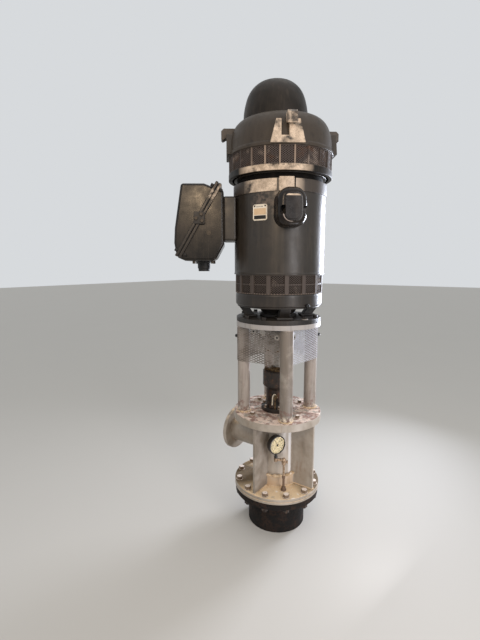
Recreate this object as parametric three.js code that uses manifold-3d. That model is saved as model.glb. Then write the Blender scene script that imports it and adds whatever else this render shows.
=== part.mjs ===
// Wellhead pump: a vertical electric motor on a fabricated discharge head, bolted to a well casing.
// Millimetres, +Z up. The origin is the centre of the casing where it meets the ground.
// The discharge nozzle points along -X, and the ribs of the head stand along +X, +Y and -Y.
import * as THREE from 'three';
import { mergeVertices } from 'three/addons/utils/BufferGeometryUtils.js';
import Module from 'manifold-3d';

const wasm = await Module();
wasm.setup();

// Driving dimensions
const seat = 0.3;                 // gap between pieces that touch
const columnTurn = 45;            // degrees, the columns stand between the ribs
const motorTurn = -4;             // degrees, the motor is turned this far from the columns

const casing = { radius: 178, height: 200, flangeRadius: 262, flangeTop: 236, gasketRadius: 218 };
const base = { radius: 266.5, bottom: 239, top: 273 };
const collar = { radius: 127, top: 340 };
const body = { radius: 109.5, wall: 8 };
const rib = { thickness: 14, reach: 258 };
const nozzle = { height: 529, radius: 84, bore: 77, faceX: -331, setback: 6 };
const nozzleFlange = { radius: 139.5, thickness: 25.4, pitchRadius: 120.65, holeRadius: 11, holes: 8 };
const middle = { radius: 270, bottom: 685, top: 730 };
const column = { radius: 38, pitchRadius: 212 };
const stuffing = { footRadius: 100, footHeight: 24, neckRadius: 70, headRadius: 90, headBottom: 888,
  top: 980 };
const gland = { radius: 55, rimHeight: 12, tipRadius: 41, top: 1004 };
const shaft = { radius: 28, bottom: 900, top: 1360, clearance: 0.6 };
const coupling = { hubRadius: 46, flangeRadius: 76, bottom: 1080, top: 1226, flangeHalf: 34 };
const guard = { thickness: 3, bottom: 1050, top: 1254, lean: 7, run: 259.4 };
const ring = { radius: 254, bore: 150, bottom: 1268, top: 1295.7 };
const motorFlange = { radius: 253, bore: 60, bottom: 1296, top: 1322 };
const legs = { footIn: 140, footOut: 196, headIn: 190, headOut: 247, width: 60, plate: 8 };
const bearing = { footRadius: 112, headRadius: 130 };
const band = { radius: 257, bottom: 1394, top: 1466 };
const lowerGrille = { core: 247, radius: 258, top: 1574, bars: 16, barWidth: 23, bandZ: 1520, rim: 6 };
const barrel = { radius: 264, skirtRadius: 267, skirtHeight: 10, necking: 246, neckingBottom: 2077,
  neckingTop: 2105, top: 2231.4 };
const pads = { radius: 269, bottom: 2010, top: 2075, slot: 11, turn: -61 };
const hoodRing = { radius: 297, bore: 276, bottom: 2107, top: 2141 };
const upperGrille = { core: 287, radius: 296.5, bore: 276, top: 2232, bars: 24, barWidth: 8, firstBar: -59,
  rim: 4 };
const hood = { lipRadius: 301, lipHeight: 15, radius: 293, top: 2424 };
const dome = { radius: 182, top: 2648, shiftX: -24, shiftY: -14 };
const lug = { turn: 38.5, bottom: 2236, top: 2350, footWidth: 180, headWidth: 122, root: 200, face: 309,
  hookWidth: 50, hookShift: 18, hookBottom: 2322, hookTop: 2386, hookReach: 338, throat: 40,
  throatShift: -14, throatBottom: 2272 };
const box = { turn: 218, width: 300, round: 14, back: 325, foot: 1652, flange: 18, flangeLip: 14,
  flangePast: 8 };
const neck = { bottom: 1765, top: 2010, width: 210, root: 200 };
const hub = { radius: 37, rimRadius: 33, rimHeight: 14, bore: 24, depth: 45, reach: 448, bottom: 1592 };
const cover = { turn: -47.5, width: 164, bottom: 1817, top: 2025, corner: 66, root: 230, face: 352,
  round: 30 };
const plate = { angle: -82, width: 84, bottom: 1863, top: 1947, thickness: 3 };
const gauge = { angle: -44, pipeReach: 168, pipeRadius: 7, cockBottom: 440, cockRadius: 14, cockTop: 480,
  keyHeight: 456, keyRadius: 5, keyLength: 24, armTurn: -149, armLength: 48, armHeight: 468, armRadius: 8,
  elbowRadius: 11, height: 566, faceTurn: -22, radius: 57, depth: 38, rim: 6, stemRadius: 8 };

// Side view of the terminal box, as reach from the pump's axis and height
const boxSide = [[543, box.foot], [582, 1669], [595, 1700], [603, 1750], [598, 1830], [559, 2071],
  [432, 2071], [388, 2054], [box.back, 2036], [box.back, 1742], [368, 1664], [388, box.foot]];
const boxSplit = { low: [579, 1680], high: [353, 2065] };

// Outline of the hood above its lip, as radius and height
const hoodSide = [[hood.radius, 2256], [291.5, 2300], [286, 2333], [276.5, 2362], [264, 2386], [249, 2404],
  [232, 2415], [210, 2421]];

// Outline of the dome above the hood, as radius and height above the hood
const domeSide = [[184, 0], [dome.radius, 39], [179, 65], [173, 95], [163, 129], [147, 161], [124, 187],
  [94, 207], [50, 221]];

const colours = {
  rust: 0x4a3a30, head: 0x9b948a, ring: 0xb5aea2, column: 0x8f887d, steel: 0x8a8a88, casting: 0x6b5a4c,
  motor: 0x39342f, motorDark: 0x26221f, grille: 0x4c4038, plate: 0xcfc8b8, brass: 0x9a8350, dial: 0xd9d2ae,
};

const group = new THREE.Group();

function add(name, geometry, colour, roughness = 0.6, metalness = 0.2) {
  const material = new THREE.MeshStandardMaterial({ color: colour, roughness, metalness });
  const mesh = new THREE.Mesh(geometry, material);
  mesh.name = name;
  group.add(mesh);
}

// A body turned about Z, from points given as radius and height, from the lowest upward
function turned(points, segments = 40) {
  const profile = points.map(([radius, height]) => new THREE.Vector2(radius, height));
  return new THREE.LatheGeometry(profile, segments).rotateX(Math.PI / 2);
}

function disc(radius, bottom, top, segments = 40) {
  return turned([[0, bottom], [radius, bottom], [radius, top], [0, top]], segments);
}

function tube(radius, bore, bottom, top, segments = 40) {
  return turned([[bore, bottom], [radius, bottom], [radius, top], [bore, top], [bore, bottom]], segments);
}

function brick(low, high) {
  const size = high.map((value, i) => value - low[i]);
  const centre = high.map((value, i) => (value + low[i]) / 2);
  return new THREE.BoxGeometry(...size).translate(...centre);
}

function outline(points) {
  return new THREE.Shape(points.map(([x, y]) => new THREE.Vector2(x, y)));
}

// A plate drawn as reach and height, with its thickness centred on the plane Y = 0
function upright(points, thickness, bevel = 0) {
  const options = { depth: thickness - 2 * bevel, bevelEnabled: bevel > 0, bevelThickness: bevel,
    bevelSize: bevel, bevelOffset: -bevel, bevelSegments: 3 };
  const plateShape = new THREE.ExtrudeGeometry(outline(points), options);
  return plateShape.rotateX(Math.PI / 2).translate(0, thickness / 2 - bevel, 0);
}

function spin(geometry, degrees) {
  return geometry.rotateZ(THREE.MathUtils.degToRad(degrees));
}

function solid(geometry) {
  const bare = geometry.clone();
  bare.deleteAttribute('normal');
  bare.deleteAttribute('uv');
  const merged = mergeVertices(bare, 1e-4);
  const vertProperties = merged.attributes.position.array;
  return new wasm.Manifold(new wasm.Mesh({ numProp: 3, vertProperties, triVerts: merged.index.array }));
}

function surface(manifold) {
  const mesh = manifold.getMesh();
  const geometry = new THREE.BufferGeometry();
  geometry.setAttribute('position', new THREE.BufferAttribute(mesh.vertProperties, 3));
  geometry.setIndex(new THREE.BufferAttribute(mesh.triVerts, 1));
  return geometry.toNonIndexed();
}

function joined(geometries) {
  return surface(geometries.map(solid).reduce((sum, item) => sum.add(item)));
}

function cut(geometry, cutters) {
  return surface(cutters.map(solid).reduce((sum, item) => sum.subtract(item), solid(geometry)));
}

// Well casing and its flange
function addCasing() {
  add('well_casing', disc(casing.radius, 0, casing.height), colours.rust, 0.85);
  const flange = disc(casing.flangeRadius, casing.height + seat, casing.flangeTop);
  add('casing_flange', flange, colours.rust, 0.85);
  const gasket = disc(casing.gasketRadius, casing.flangeTop + seat, base.bottom - seat);
  add('flange_gasket', gasket, colours.motorDark, 0.9);
}

// Discharge head: base flange, body pipe, ribs, nozzle and middle flange
function addHead() {
  const foot = base.top + seat;
  const under = middle.bottom - seat;
  add('base_flange', disc(base.radius, base.bottom, base.top), colours.head);
  add('base_collar', tube(collar.radius, body.radius + seat, foot, collar.top), colours.head);

  const bodyPipe = tube(body.radius, body.radius - body.wall, foot, under);
  const bore = disc(nozzle.bore, 0, body.radius + 1, 32).rotateY(-Math.PI / 2);
  add('body_pipe', cut(bodyPipe, [bore.translate(0, 0, nozzle.height)]), colours.head);

  const ribSide = [[collar.radius + seat, foot], [rib.reach, foot], [rib.reach, under],
    [body.radius + seat, under], [body.radius + seat, collar.top + seat],
    [collar.radius + seat, collar.top + seat]];
  const ribAngles = { rib_right: 0, rib_back: 90, rib_left: -90 };
  for (const [name, angle] of Object.entries(ribAngles)) {
    add(name, spin(upright(ribSide, rib.thickness), angle), colours.head);
  }

  // The nozzle is modelled upright, then laid along -X
  const reach = -nozzle.faceX;
  const pipe = tube(nozzle.radius, nozzle.bore, 0, reach - nozzle.setback, 32).rotateY(-Math.PI / 2);
  const bodySpace = disc(body.radius + seat, -nozzle.radius - 1, nozzle.radius + 1);
  const pipeEnd = cut(pipe, [bodySpace]).translate(0, 0, nozzle.height);
  add('discharge_nozzle', pipeEnd, colours.head);

  const back = reach - nozzleFlange.thickness;
  const disk = tube(nozzleFlange.radius, nozzle.radius + seat, back, reach);
  const holes = [];
  for (let i = 0; i < nozzleFlange.holes; i += 1) {
    const hole = disc(nozzleFlange.holeRadius, back - 1, reach + 1, 10);
    hole.translate(nozzleFlange.pitchRadius, 0, 0);
    holes.push(spin(hole, (360 / nozzleFlange.holes) * (i + 0.5)));
  }
  const flange = cut(disk, holes).rotateY(-Math.PI / 2).translate(0, 0, nozzle.height);
  add('discharge_flange', flange, colours.head);
  add('middle_flange', disc(middle.radius, middle.bottom, middle.top), colours.head);
}

// Four columns that carry the motor ring
function addColumns() {
  const names = ['column_right', 'column_back', 'column_left', 'column_front'];
  names.forEach((name, i) => {
    const post = disc(column.radius, middle.top + seat, ring.bottom - seat, 24);
    add(name, spin(post.translate(column.pitchRadius, 0, 0), columnTurn + 90 * i), colours.column);
  });
}

// Stuffing box with its gland, and the line from shaft to motor
function addShaftLine() {
  const foot = middle.top + seat;
  const bore = shaft.radius + shaft.clearance;
  const footTop = foot + stuffing.footHeight;
  const casting = [[0, foot], [stuffing.footRadius, foot], [stuffing.footRadius, footTop],
    [stuffing.neckRadius, footTop + 8], [stuffing.neckRadius - 2, stuffing.headBottom - 6],
    [stuffing.headRadius, stuffing.headBottom], [stuffing.headRadius, stuffing.top], [bore, stuffing.top],
    [bore, shaft.bottom - seat], [0, shaft.bottom - seat]];
  add('stuffing_box', turned(casting, 28), colours.casting, 0.8);

  const glandFoot = stuffing.top + seat;
  const glandRim = glandFoot + gland.rimHeight;
  const glandSide = [[bore, glandFoot], [gland.radius, glandFoot], [gland.radius, glandRim],
    [gland.tipRadius, gland.top], [bore, gland.top], [bore, glandFoot]];
  add('packing_gland', turned(glandSide, 28), colours.brass, 0.5, 0.6);

  add('drive_shaft', disc(shaft.radius, shaft.bottom, shaft.top, 28), colours.steel, 0.35, 0.8);

  const middleZ = (coupling.bottom + coupling.top) / 2;
  const [low, high] = [middleZ - coupling.flangeHalf, middleZ + coupling.flangeHalf];
  const inner = shaft.radius + seat;
  const couplingSide = [[inner, coupling.bottom], [coupling.hubRadius, coupling.bottom],
    [coupling.hubRadius, low], [coupling.flangeRadius, low], [coupling.flangeRadius, high],
    [coupling.hubRadius, high], [coupling.hubRadius, coupling.top], [inner, coupling.top],
    [inner, coupling.bottom]];
  add('shaft_coupling', turned(couplingSide, 28), colours.steel, 0.5, 0.7);
}

// Guard of two bent sheets: each runs from the side of one column, round the next, to the one after
function guardSheet() {
  const lean = THREE.MathUtils.degToRad(guard.lean);
  const centre = column.pitchRadius * Math.SQRT1_2;
  const inner = column.radius + seat;
  const outer = inner + guard.thickness;
  const start = (radius) => [
    centre + radius * Math.cos(lean) - guard.run * Math.sin(lean),
    centre - radius * Math.sin(lean) - guard.run * Math.cos(lean)];
  const end = (radius) => start(radius).reverse();
  const sheet = new THREE.Shape();
  sheet.moveTo(...start(outer));
  sheet.absarc(centre, centre, outer, -lean, Math.PI / 2 + lean, false);
  sheet.lineTo(...end(outer));
  sheet.lineTo(...end(inner));
  sheet.absarc(centre, centre, inner, Math.PI / 2 + lean, -lean, true);
  sheet.lineTo(...start(inner));
  sheet.closePath();
  const options = { depth: guard.top - guard.bottom, bevelEnabled: false, curveSegments: 10 };
  return new THREE.ExtrudeGeometry(sheet, options).translate(0, 0, guard.bottom);
}

function addGuard() {
  add('guard_right', guardSheet(), colours.ring, 0.5, 0.6);
  add('guard_left', spin(guardSheet(), 180), colours.ring, 0.5, 0.6);
}

// Motor ring, motor flange and the open frame under the motor
function addMotorBase() {
  add('motor_ring', tube(ring.radius, ring.bore, ring.bottom, ring.top), colours.ring);
  const flange = tube(motorFlange.radius, motorFlange.bore, motorFlange.bottom, motorFlange.top);
  add('motor_flange', flange, colours.motor);

  const foot = motorFlange.top + seat;
  const head = band.bottom - seat;
  const bore = shaft.radius + shaft.clearance;
  const housing = turned([[bore, foot], [bearing.footRadius, foot], [bearing.headRadius, head], [0, head],
    [0, shaft.top + seat], [bore, shaft.top + seat], [bore, foot]], 28);
  const topPlate = disc(legs.headOut, head - legs.plate, head);
  const legSide = [[legs.footIn, foot], [legs.footOut, foot], [legs.headOut, head], [legs.headIn, head]];
  const pieces = [housing, cut(topPlate, [disc(bearing.footRadius, head - legs.plate - 1, head + 1, 28)])];
  for (let i = 0; i < 4; i += 1) {
    pieces.push(spin(upright(legSide, legs.width), columnTurn + motorTurn + 90 * i));
  }
  add('motor_frame', joined(pieces), colours.motorDark);
}

// A ring of bars round a core, closed by a rim above and below
function barredRing(grille, bottom, top, bore, firstBar) {
  const hoop = bore > 0 ? (outer, low, high) => tube(outer, bore, low, high) : disc;
  const pieces = [
    hoop(grille.core, bottom, top),
    hoop(grille.radius - 1, bottom, bottom + grille.rim),
    hoop(grille.radius - 1, top - grille.rim, top),
  ];
  if (grille.bandZ) {
    pieces.push(hoop(grille.radius - 3, grille.bandZ - grille.rim / 2, grille.bandZ + grille.rim / 2));
  }
  for (let i = 0; i < grille.bars; i += 1) {
    const half = grille.barWidth / 2;
    const bar = brick([grille.core - 6, -half, bottom], [grille.radius, half, top]);
    pieces.push(spin(bar, firstBar + (360 / grille.bars) * i));
  }
  return joined(pieces);
}

// The space that the barrel fills, for pieces that are shaped to sit against it
function barrelSpace() {
  return disc(barrel.radius + seat, lowerGrille.top, barrel.top);
}

// The same round the pads at the barrel's top, with enough sides to clear their corners
function padSpace() {
  return disc(pads.radius + seat, pads.bottom - seat, barrel.top, 160);
}

// Motor from its lower band to the top of the barrel
function addBarrel() {
  add('lower_band', disc(band.radius, band.bottom, band.top - seat), colours.motor);
  const grille = barredRing(lowerGrille, band.top, lowerGrille.top - seat, 0, columnTurn + motorTurn);
  add('lower_grille', grille, colours.grille, 0.7);

  const skirtTop = lowerGrille.top + barrel.skirtHeight;
  const side = [[0, lowerGrille.top], [barrel.skirtRadius, lowerGrille.top],
    [barrel.skirtRadius, skirtTop - 3], [barrel.radius, skirtTop],
    [barrel.radius, barrel.neckingBottom], [barrel.necking, barrel.neckingBottom],
    [barrel.necking, barrel.neckingTop], [barrel.radius, barrel.neckingTop], [barrel.radius, barrel.top],
    [0, barrel.top]];
  add('motor_barrel', turned(side), colours.motor, 0.45);

  // The pads at the top of the barrel are one collar for each quarter, with a narrow slot between
  const shape = (from, to) => {
    const arc = new THREE.Shape();
    arc.absarc(0, 0, pads.radius, from, to, false);
    arc.absarc(0, 0, barrel.radius - 4, to, from, true);
    arc.closePath();
    return arc;
  };
  const slotAngle = pads.slot / pads.radius / 2;
  const quarter = Math.PI / 2;
  const options = { depth: pads.top - pads.bottom, bevelEnabled: false, curveSegments: 12 };
  const names = ['barrel_pad_right', 'barrel_pad_back', 'barrel_pad_left', 'barrel_pad_front'];
  names.forEach((name, i) => {
    const pad = new THREE.ExtrudeGeometry(shape(slotAngle, quarter - slotAngle), options);
    const placed = spin(pad.translate(0, 0, pads.bottom), pads.turn + 90 * i);
    add(name, cut(placed, [barrelSpace()]), colours.motor, 0.45);
  });
}

// Profile of the hood, or of the space round it when extra is above zero
function hoodProfile(extra = 0) {
  const foot = upperGrille.top;
  const lip = [[0, foot], [hood.lipRadius, foot], [hood.lipRadius, foot + hood.lipHeight]];
  const grow = ([radius, height]) => [radius > 0 ? radius + extra : 0, height + extra];
  return [...lip, ...hoodSide, [0, hood.top]].map(grow);
}

// Ring, grille, hood and dome over the barrel
function addHood() {
  const bottomRing = tube(hoodRing.radius, hoodRing.bore, hoodRing.bottom, hoodRing.top - seat);
  add('hood_ring', bottomRing, colours.motor, 0.45);
  const { bore, firstBar } = upperGrille;
  const grille = barredRing(upperGrille, hoodRing.top, upperGrille.top - seat, bore, firstBar);
  add('hood_grille', grille, colours.grille, 0.7);
  add('hood', turned(hoodProfile()), colours.motor, 0.45);

  const domeFoot = hood.top + seat;
  const side = domeSide.map(([radius, height]) => [radius, domeFoot + height]);
  const cap = turned([[0, domeFoot], ...side, [0, dome.top]]).translate(dome.shiftX, dome.shiftY, 0);
  add('hood_dome', cap, colours.motor, 0.45);
}

// Lifting lugs: a tapered boss on the hood with a hook over its throat
function addLugs() {
  const half = { foot: lug.footWidth / 2, head: lug.headWidth / 2, throat: lug.throat / 2 };
  const face = outline([[-half.foot, lug.bottom], [half.foot, lug.bottom], [half.head, lug.top],
    [-half.head, lug.top]]);
  const boss = new THREE.ExtrudeGeometry(face, { depth: lug.face - lug.root, bevelEnabled: false });
  boss.rotateX(Math.PI / 2).rotateZ(Math.PI / 2).translate(lug.root, 0, 0);
  const throat = brick([lug.root, lug.throatShift - half.throat, lug.throatBottom],
    [lug.hookReach, lug.throatShift + half.throat, lug.top + 1]);
  const hookSide = [[lug.root, lug.hookBottom + 20], [lug.face, lug.hookBottom + 12],
    [lug.hookReach - 8, lug.hookBottom], [lug.hookReach, lug.hookBottom + 8],
    [lug.hookReach, lug.hookTop - 14], [lug.hookReach - 14, lug.hookTop], [lug.root, lug.hookTop]];
  const hook = upright(hookSide, lug.hookWidth).translate(0, lug.hookShift, 0);
  const whole = joined([cut(boss, [throat]), hook]);
  const names = ['lifting_lug_right', 'lifting_lug_back', 'lifting_lug_left', 'lifting_lug_front'];
  names.forEach((name, i) => {
    const placed = spin(whole.clone(), lug.turn + 90 * i);
    add(name, cut(placed, [turned(hoodProfile(seat))]), colours.motor, 0.45);
  });
}

// Terminal box: two cast halves that meet on a slanted flange, a neck to the barrel and a conduit hub
function addTerminalBox() {
  const [low, high] = [boxSplit.low, boxSplit.high];
  const length = Math.hypot(high[0] - low[0], high[1] - low[1]);
  const along = [(high[0] - low[0]) / length, (high[1] - low[1]) / length];
  const out = [along[1], -along[0]];
  // A plate along the split line, longer by past at each end, from near to far on its outer side
  const splitPlate = (past, near, far, width) => {
    const point = (run, offset) => [low[0] + along[0] * run + out[0] * offset,
      low[1] + along[1] * run + out[1] * offset];
    const corners = [[-past, near], [length + past, near], [length + past, far], [-past, far]];
    return upright(corners.map(([run, offset]) => point(run, offset)), width);
  };
  const whole = upright(boxSide, box.width, box.round);
  const gap = seat / 2;
  const beyond = 2 * box.width;
  const flangeWidth = box.width + 2 * box.flangeLip;
  const coverHalf = joined([cut(whole, [splitPlate(beyond, -beyond, gap, beyond)]),
    splitPlate(box.flangePast, gap, box.flange, flangeWidth)]);
  const baseHalf = joined([cut(whole, [splitPlate(beyond, -gap, beyond, beyond)]),
    splitPlate(box.flangePast, -box.flange, -gap, flangeWidth)]);
  add('terminal_box_cover', spin(coverHalf, box.turn), colours.motor, 0.4);
  add('terminal_box_base', spin(baseHalf, box.turn), colours.motor, 0.4);

  const side = neck.width / 2;
  const neckBrick = brick([neck.root, -side, neck.bottom], [box.back - seat, side, neck.top]);
  add('terminal_box_neck', cut(spin(neckBrick, box.turn), [barrelSpace()]), colours.motor, 0.4);

  const hubTop = box.foot - seat;
  const rimTop = hub.bottom + hub.rimHeight;
  const hubSide = [[hub.bore, hub.bottom], [hub.rimRadius, hub.bottom], [hub.rimRadius, rimTop],
    [hub.radius, rimTop + 4], [hub.radius, hubTop], [0, hubTop], [0, hub.bottom + hub.depth],
    [hub.bore, hub.bottom + hub.depth], [hub.bore, hub.bottom]];
  const hubBody = turned(hubSide, 20).translate(hub.reach, 0, 0);
  add('conduit_hub', spin(hubBody, box.turn), colours.motorDark, 0.6);
}

// Rounded cover on the front of the barrel, and the plain nameplate beside it
function addBarrelFittings() {
  const face = new THREE.Shape();
  const half = cover.width / 2;
  const corner = cover.corner;
  face.absarc(half - corner, cover.bottom + corner, corner, -Math.PI / 2, 0, false);
  face.absarc(half - corner, cover.top - corner, corner, 0, Math.PI / 2, false);
  face.absarc(corner - half, cover.top - corner, corner, Math.PI / 2, Math.PI, false);
  face.absarc(corner - half, cover.bottom + corner, corner, Math.PI, 1.5 * Math.PI, false);
  face.closePath();
  const options = { depth: cover.face - cover.root - cover.round, bevelEnabled: true,
    bevelThickness: cover.round, bevelSize: cover.round, bevelOffset: -cover.round, bevelSegments: 4,
    curveSegments: 6 };
  const block = new THREE.ExtrudeGeometry(face, options);
  block.rotateX(Math.PI / 2).rotateZ(Math.PI / 2).translate(cover.root, 0, 0);
  const placed = spin(block, cover.turn);
  add('bearing_cover', cut(placed, [barrelSpace(), padSpace()]), colours.motor, 0.35);

  const spread = plate.width / barrel.radius / 2;
  const arc = new THREE.Shape();
  arc.absarc(0, 0, barrel.radius + plate.thickness, -spread, spread, false);
  arc.absarc(0, 0, barrel.radius - 4, spread, -spread, true);
  arc.closePath();
  const plateOptions = { depth: plate.top - plate.bottom, bevelEnabled: false, curveSegments: 6 };
  const sheet = new THREE.ExtrudeGeometry(arc, plateOptions).translate(0, 0, plate.bottom);
  add('nameplate', cut(spin(sheet, plate.angle), [barrelSpace()]), colours.plate, 0.5);
}

// Pressure gauge: an upright pipe, a small cock with an arm to one side, and the gauge on the arm's elbow
function addGauge() {
  const foot = base.top + seat;
  const pipe = disc(gauge.pipeRadius, foot, gauge.cockBottom - seat, 16).translate(gauge.pipeReach, 0, 0);
  add('gauge_pipe', spin(pipe, gauge.angle), colours.casting, 0.7);

  const away = (degrees, reach) => {
    const angle = THREE.MathUtils.degToRad(degrees);
    return [reach * Math.cos(angle), reach * Math.sin(angle)];
  };
  const pipeAt = away(gauge.angle, gauge.pipeReach);
  const arm = away(gauge.armTurn, gauge.armLength);
  const elbowAt = [pipeAt[0] + arm[0], pipeAt[1] + arm[1]];
  // A round bar that leaves the cock sideways
  const bar = (radius, length, height, degrees) => {
    const lying = spin(disc(radius, 0, length, 10).rotateY(Math.PI / 2), degrees);
    return lying.translate(pipeAt[0], pipeAt[1], height);
  };
  const elbowTop = gauge.armHeight + gauge.elbowRadius;
  const elbow = disc(gauge.elbowRadius, gauge.armHeight - gauge.elbowRadius, elbowTop, 12);
  const cock = disc(gauge.cockRadius, gauge.cockBottom, gauge.cockTop, 8);
  cock.translate(pipeAt[0], pipeAt[1], 0);
  const key = bar(gauge.keyRadius, gauge.keyLength, gauge.keyHeight, gauge.armTurn + 180);
  const armBar = bar(gauge.armRadius, gauge.armLength, gauge.armHeight, gauge.armTurn);
  const cockPieces = [cock, key, armBar, elbow.translate(elbowAt[0], elbowAt[1], 0)];
  add('gauge_cock', joined(cockPieces), colours.brass, 0.4, 0.8);

  const stem = disc(gauge.stemRadius, elbowTop + seat, gauge.height - gauge.radius + gauge.rim, 12);
  const dialRadius = gauge.radius - gauge.rim;
  const dialDepth = gauge.depth - gauge.rim;
  const caseSide = [[0, 0], [dialRadius, 0], [gauge.radius, gauge.rim], [gauge.radius, gauge.depth],
    [dialRadius, gauge.depth], [dialRadius, dialDepth], [0, dialDepth]];
  const caseBody = turned(caseSide, 28).rotateY(Math.PI / 2).translate(-gauge.depth / 2, 0, gauge.height);
  const whole = spin(joined([stem, caseBody]), gauge.faceTurn).translate(elbowAt[0], elbowAt[1], 0);
  add('pressure_gauge', whole, colours.dial, 0.4);
}

addCasing();
addHead();
addColumns();
addShaftLine();
addGuard();
addMotorBase();
addBarrel();
addHood();
addLugs();
addTerminalBox();
addBarrelFittings();
addGauge();

export default group;
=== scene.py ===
import math
from types import SimpleNamespace

import bmesh
import bpy
from mathutils import Matrix, Vector
from mathutils.noise import noise


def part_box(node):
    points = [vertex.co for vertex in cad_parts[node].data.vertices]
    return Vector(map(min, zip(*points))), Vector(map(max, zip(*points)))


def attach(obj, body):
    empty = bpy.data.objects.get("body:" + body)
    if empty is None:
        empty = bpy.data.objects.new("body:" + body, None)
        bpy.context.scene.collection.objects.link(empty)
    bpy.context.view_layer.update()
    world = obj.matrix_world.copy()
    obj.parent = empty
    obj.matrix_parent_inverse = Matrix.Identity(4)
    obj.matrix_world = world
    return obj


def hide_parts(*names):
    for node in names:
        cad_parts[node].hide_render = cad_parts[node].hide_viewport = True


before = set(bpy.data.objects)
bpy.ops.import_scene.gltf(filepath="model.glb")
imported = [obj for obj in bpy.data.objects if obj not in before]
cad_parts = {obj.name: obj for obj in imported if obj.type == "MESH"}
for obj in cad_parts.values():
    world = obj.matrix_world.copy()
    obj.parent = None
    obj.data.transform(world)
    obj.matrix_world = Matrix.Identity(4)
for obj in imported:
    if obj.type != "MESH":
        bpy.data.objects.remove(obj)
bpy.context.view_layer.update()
mm = 0.001


class Values(dict):
    # a dictionary whose values can also be read as names
    __getattr__ = dict.__getitem__


print("frame loaded:", len(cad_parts), "nodes")

# Shapes are (points, faces) in millimetres until makePiece turns them into objects in metres


def measured(node):
    # low and high corner, middle, radius and furthest reach of a CAD node, in mm
    low, high = (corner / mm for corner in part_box(node))
    middle = (low + high) / 2
    return SimpleNamespace(low=low, high=high, middle=middle, radius=(high.x - low.x) / 2,
                           bottom=low.z, top=high.z, reach=max(map(abs, (*low.xy, *high.xy))))


def turned(degrees, axis="Z"):
    # a rotation, as carried is a move
    return Matrix.Rotation(math.radians(degrees), 4, axis)


def carried(x, y=0.0, z=0.0):
    return Matrix.Translation((x, y, z))


def together(shapes):
    # several shapes as one
    points, faces = [], []
    for shapePoints, shapeFaces in shapes:
        start = len(points)
        points += shapePoints
        faces += [[index + start for index in face] for face in shapeFaces]
    return points, faces


def moved(shape, matrix):
    return [tuple(matrix @ Vector(point)) for point in shape[0]], shape[1]


def shifted(shape, x=0.0, y=0.0, z=0.0):
    return moved(shape, carried(x, y, z))


def spun(shape, degrees, axis="Z"):
    return moved(shape, turned(degrees, axis))


def around(shape, count, first=0.0, reach=0.0):
    # copies of a shape on a circle about Z
    return together([spun(shifted(shape, reach), first + 360 / count * i) for i in range(count)])


def polar(radius, degrees):
    # X and Y of a point at this angle about Z
    return radius * math.cos(math.radians(degrees)), radius * math.sin(math.radians(degrees))


def softened(profile, soft=1.5, steps=3, loop=False):
    # the same line with its corners rounded by soft mm, less where a side is short
    line, count = [], len(profile)
    for i, point in enumerate(profile):
        here = Vector(point)
        if not loop and i in (0, count - 1):
            line.append(tuple(here))
            continue
        before, after = Vector(profile[i - 1]) - here, Vector(profile[(i + 1) % count]) - here
        cut = min(soft, before.length * 0.45, after.length * 0.45)
        first, last = here + before.normalized() * cut, here + after.normalized() * cut
        for k in range(steps + 1):
            t = k / steps
            line.append(tuple(first * (1 - t) ** 2 + here * 2 * t * (1 - t) + last * t * t))
    return line


def lathe(profile, steps=96, loop=False):
    # turned about Z from (radius, height), listed outward at the bottom and then up
    points, faces, rings = [], [], []
    turn = [polar(1, 360 / steps * i) for i in range(steps)]
    for radius, height in profile:
        start = len(points)
        if radius < 1e-6:
            rings.append([start] * steps)
            points.append((0.0, 0.0, height))
        else:
            rings.append(list(range(start, start + steps)))
            points += [(radius * x, radius * y, height) for x, y in turn]
    pairs = list(zip(rings, rings[1:])) + ([(rings[-1], rings[0])] if loop else [])
    for lower, upper in pairs:
        for i in range(steps):
            j = (i + 1) % steps
            face = list(dict.fromkeys([lower[i], lower[j], upper[j], upper[i]]))
            if len(face) > 2:
                faces.append(face)
    return points, faces


def disc(radius, low, high, soft=1.5, steps=96):
    return lathe(softened([(0, low), (radius, low), (radius, high), (0, high)], soft), steps)


def ring(outer, inner, low, high, soft=1.5, steps=96):
    return lathe(softened([(inner, low), (outer, low), (outer, high), (inner, high)], soft, loop=True),
                 steps, True)


def sidesOf(count, size, closed=False):
    # faces that join count rings of size points one after another, and the last to the first if closed
    return [[i * size + k, i * size + m, j * size + m, j * size + k]
            for i in range(count if closed else count - 1) for j in [(i + 1) % count]
            for k in range(size) for m in [(k + 1) % size]]


def endsOf(count, size):
    return [list(range(size))[::-1], list(range((count - 1) * size, count * size))]


def stacked(outlines):
    # rings of points with like counts, joined one after another, with both ends closed
    rings = (len(outlines), len(outlines[0]))
    return [point for outline in outlines for point in outline], endsOf(*rings) + sidesOf(*rings)


def prism(outline, low, high):
    # an outline in X and Y, listed anticlockwise, from low to high
    return stacked([[(x, y, height) for x, y in outline] for height in (low, high)])


def upright(outline, thickness):
    # an outline of reach and height, anticlockwise, as a plate centred on the plane Y = 0
    flat = prism(outline, -thickness / 2, thickness / 2)
    return moved(flat, turned(90, "X"))


def brick(low, high):
    outline = [(low[0], low[1]), (high[0], low[1]), (high[0], high[1]), (low[0], high[1])]
    return prism(outline, low[2], high[2])


def sweep(path, radius, sides=8, closed=False):
    # a round bar along a path; radius is a number or a function of the point's number
    route = [Vector(point) for point in path]
    count = len(route)
    size = radius if callable(radius) else lambda i: radius
    points, side = [], None
    for i, here in enumerate(route):
        before = route[i - 1] if closed or i else here
        after = route[(i + 1) % count] if closed or i < count - 1 else here
        along = (after - before).normalized()
        if side is None:
            side = along.orthogonal().normalized()
        side = (side - along * side.dot(along)).normalized()
        up = along.cross(side)
        for k in range(sides):
            x, y = polar(size(i), 360 / sides * k)
            points.append(tuple(here + side * x + up * y))
    return points, sidesOf(count, sides, closed) + ([] if closed else endsOf(count, sides))


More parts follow.
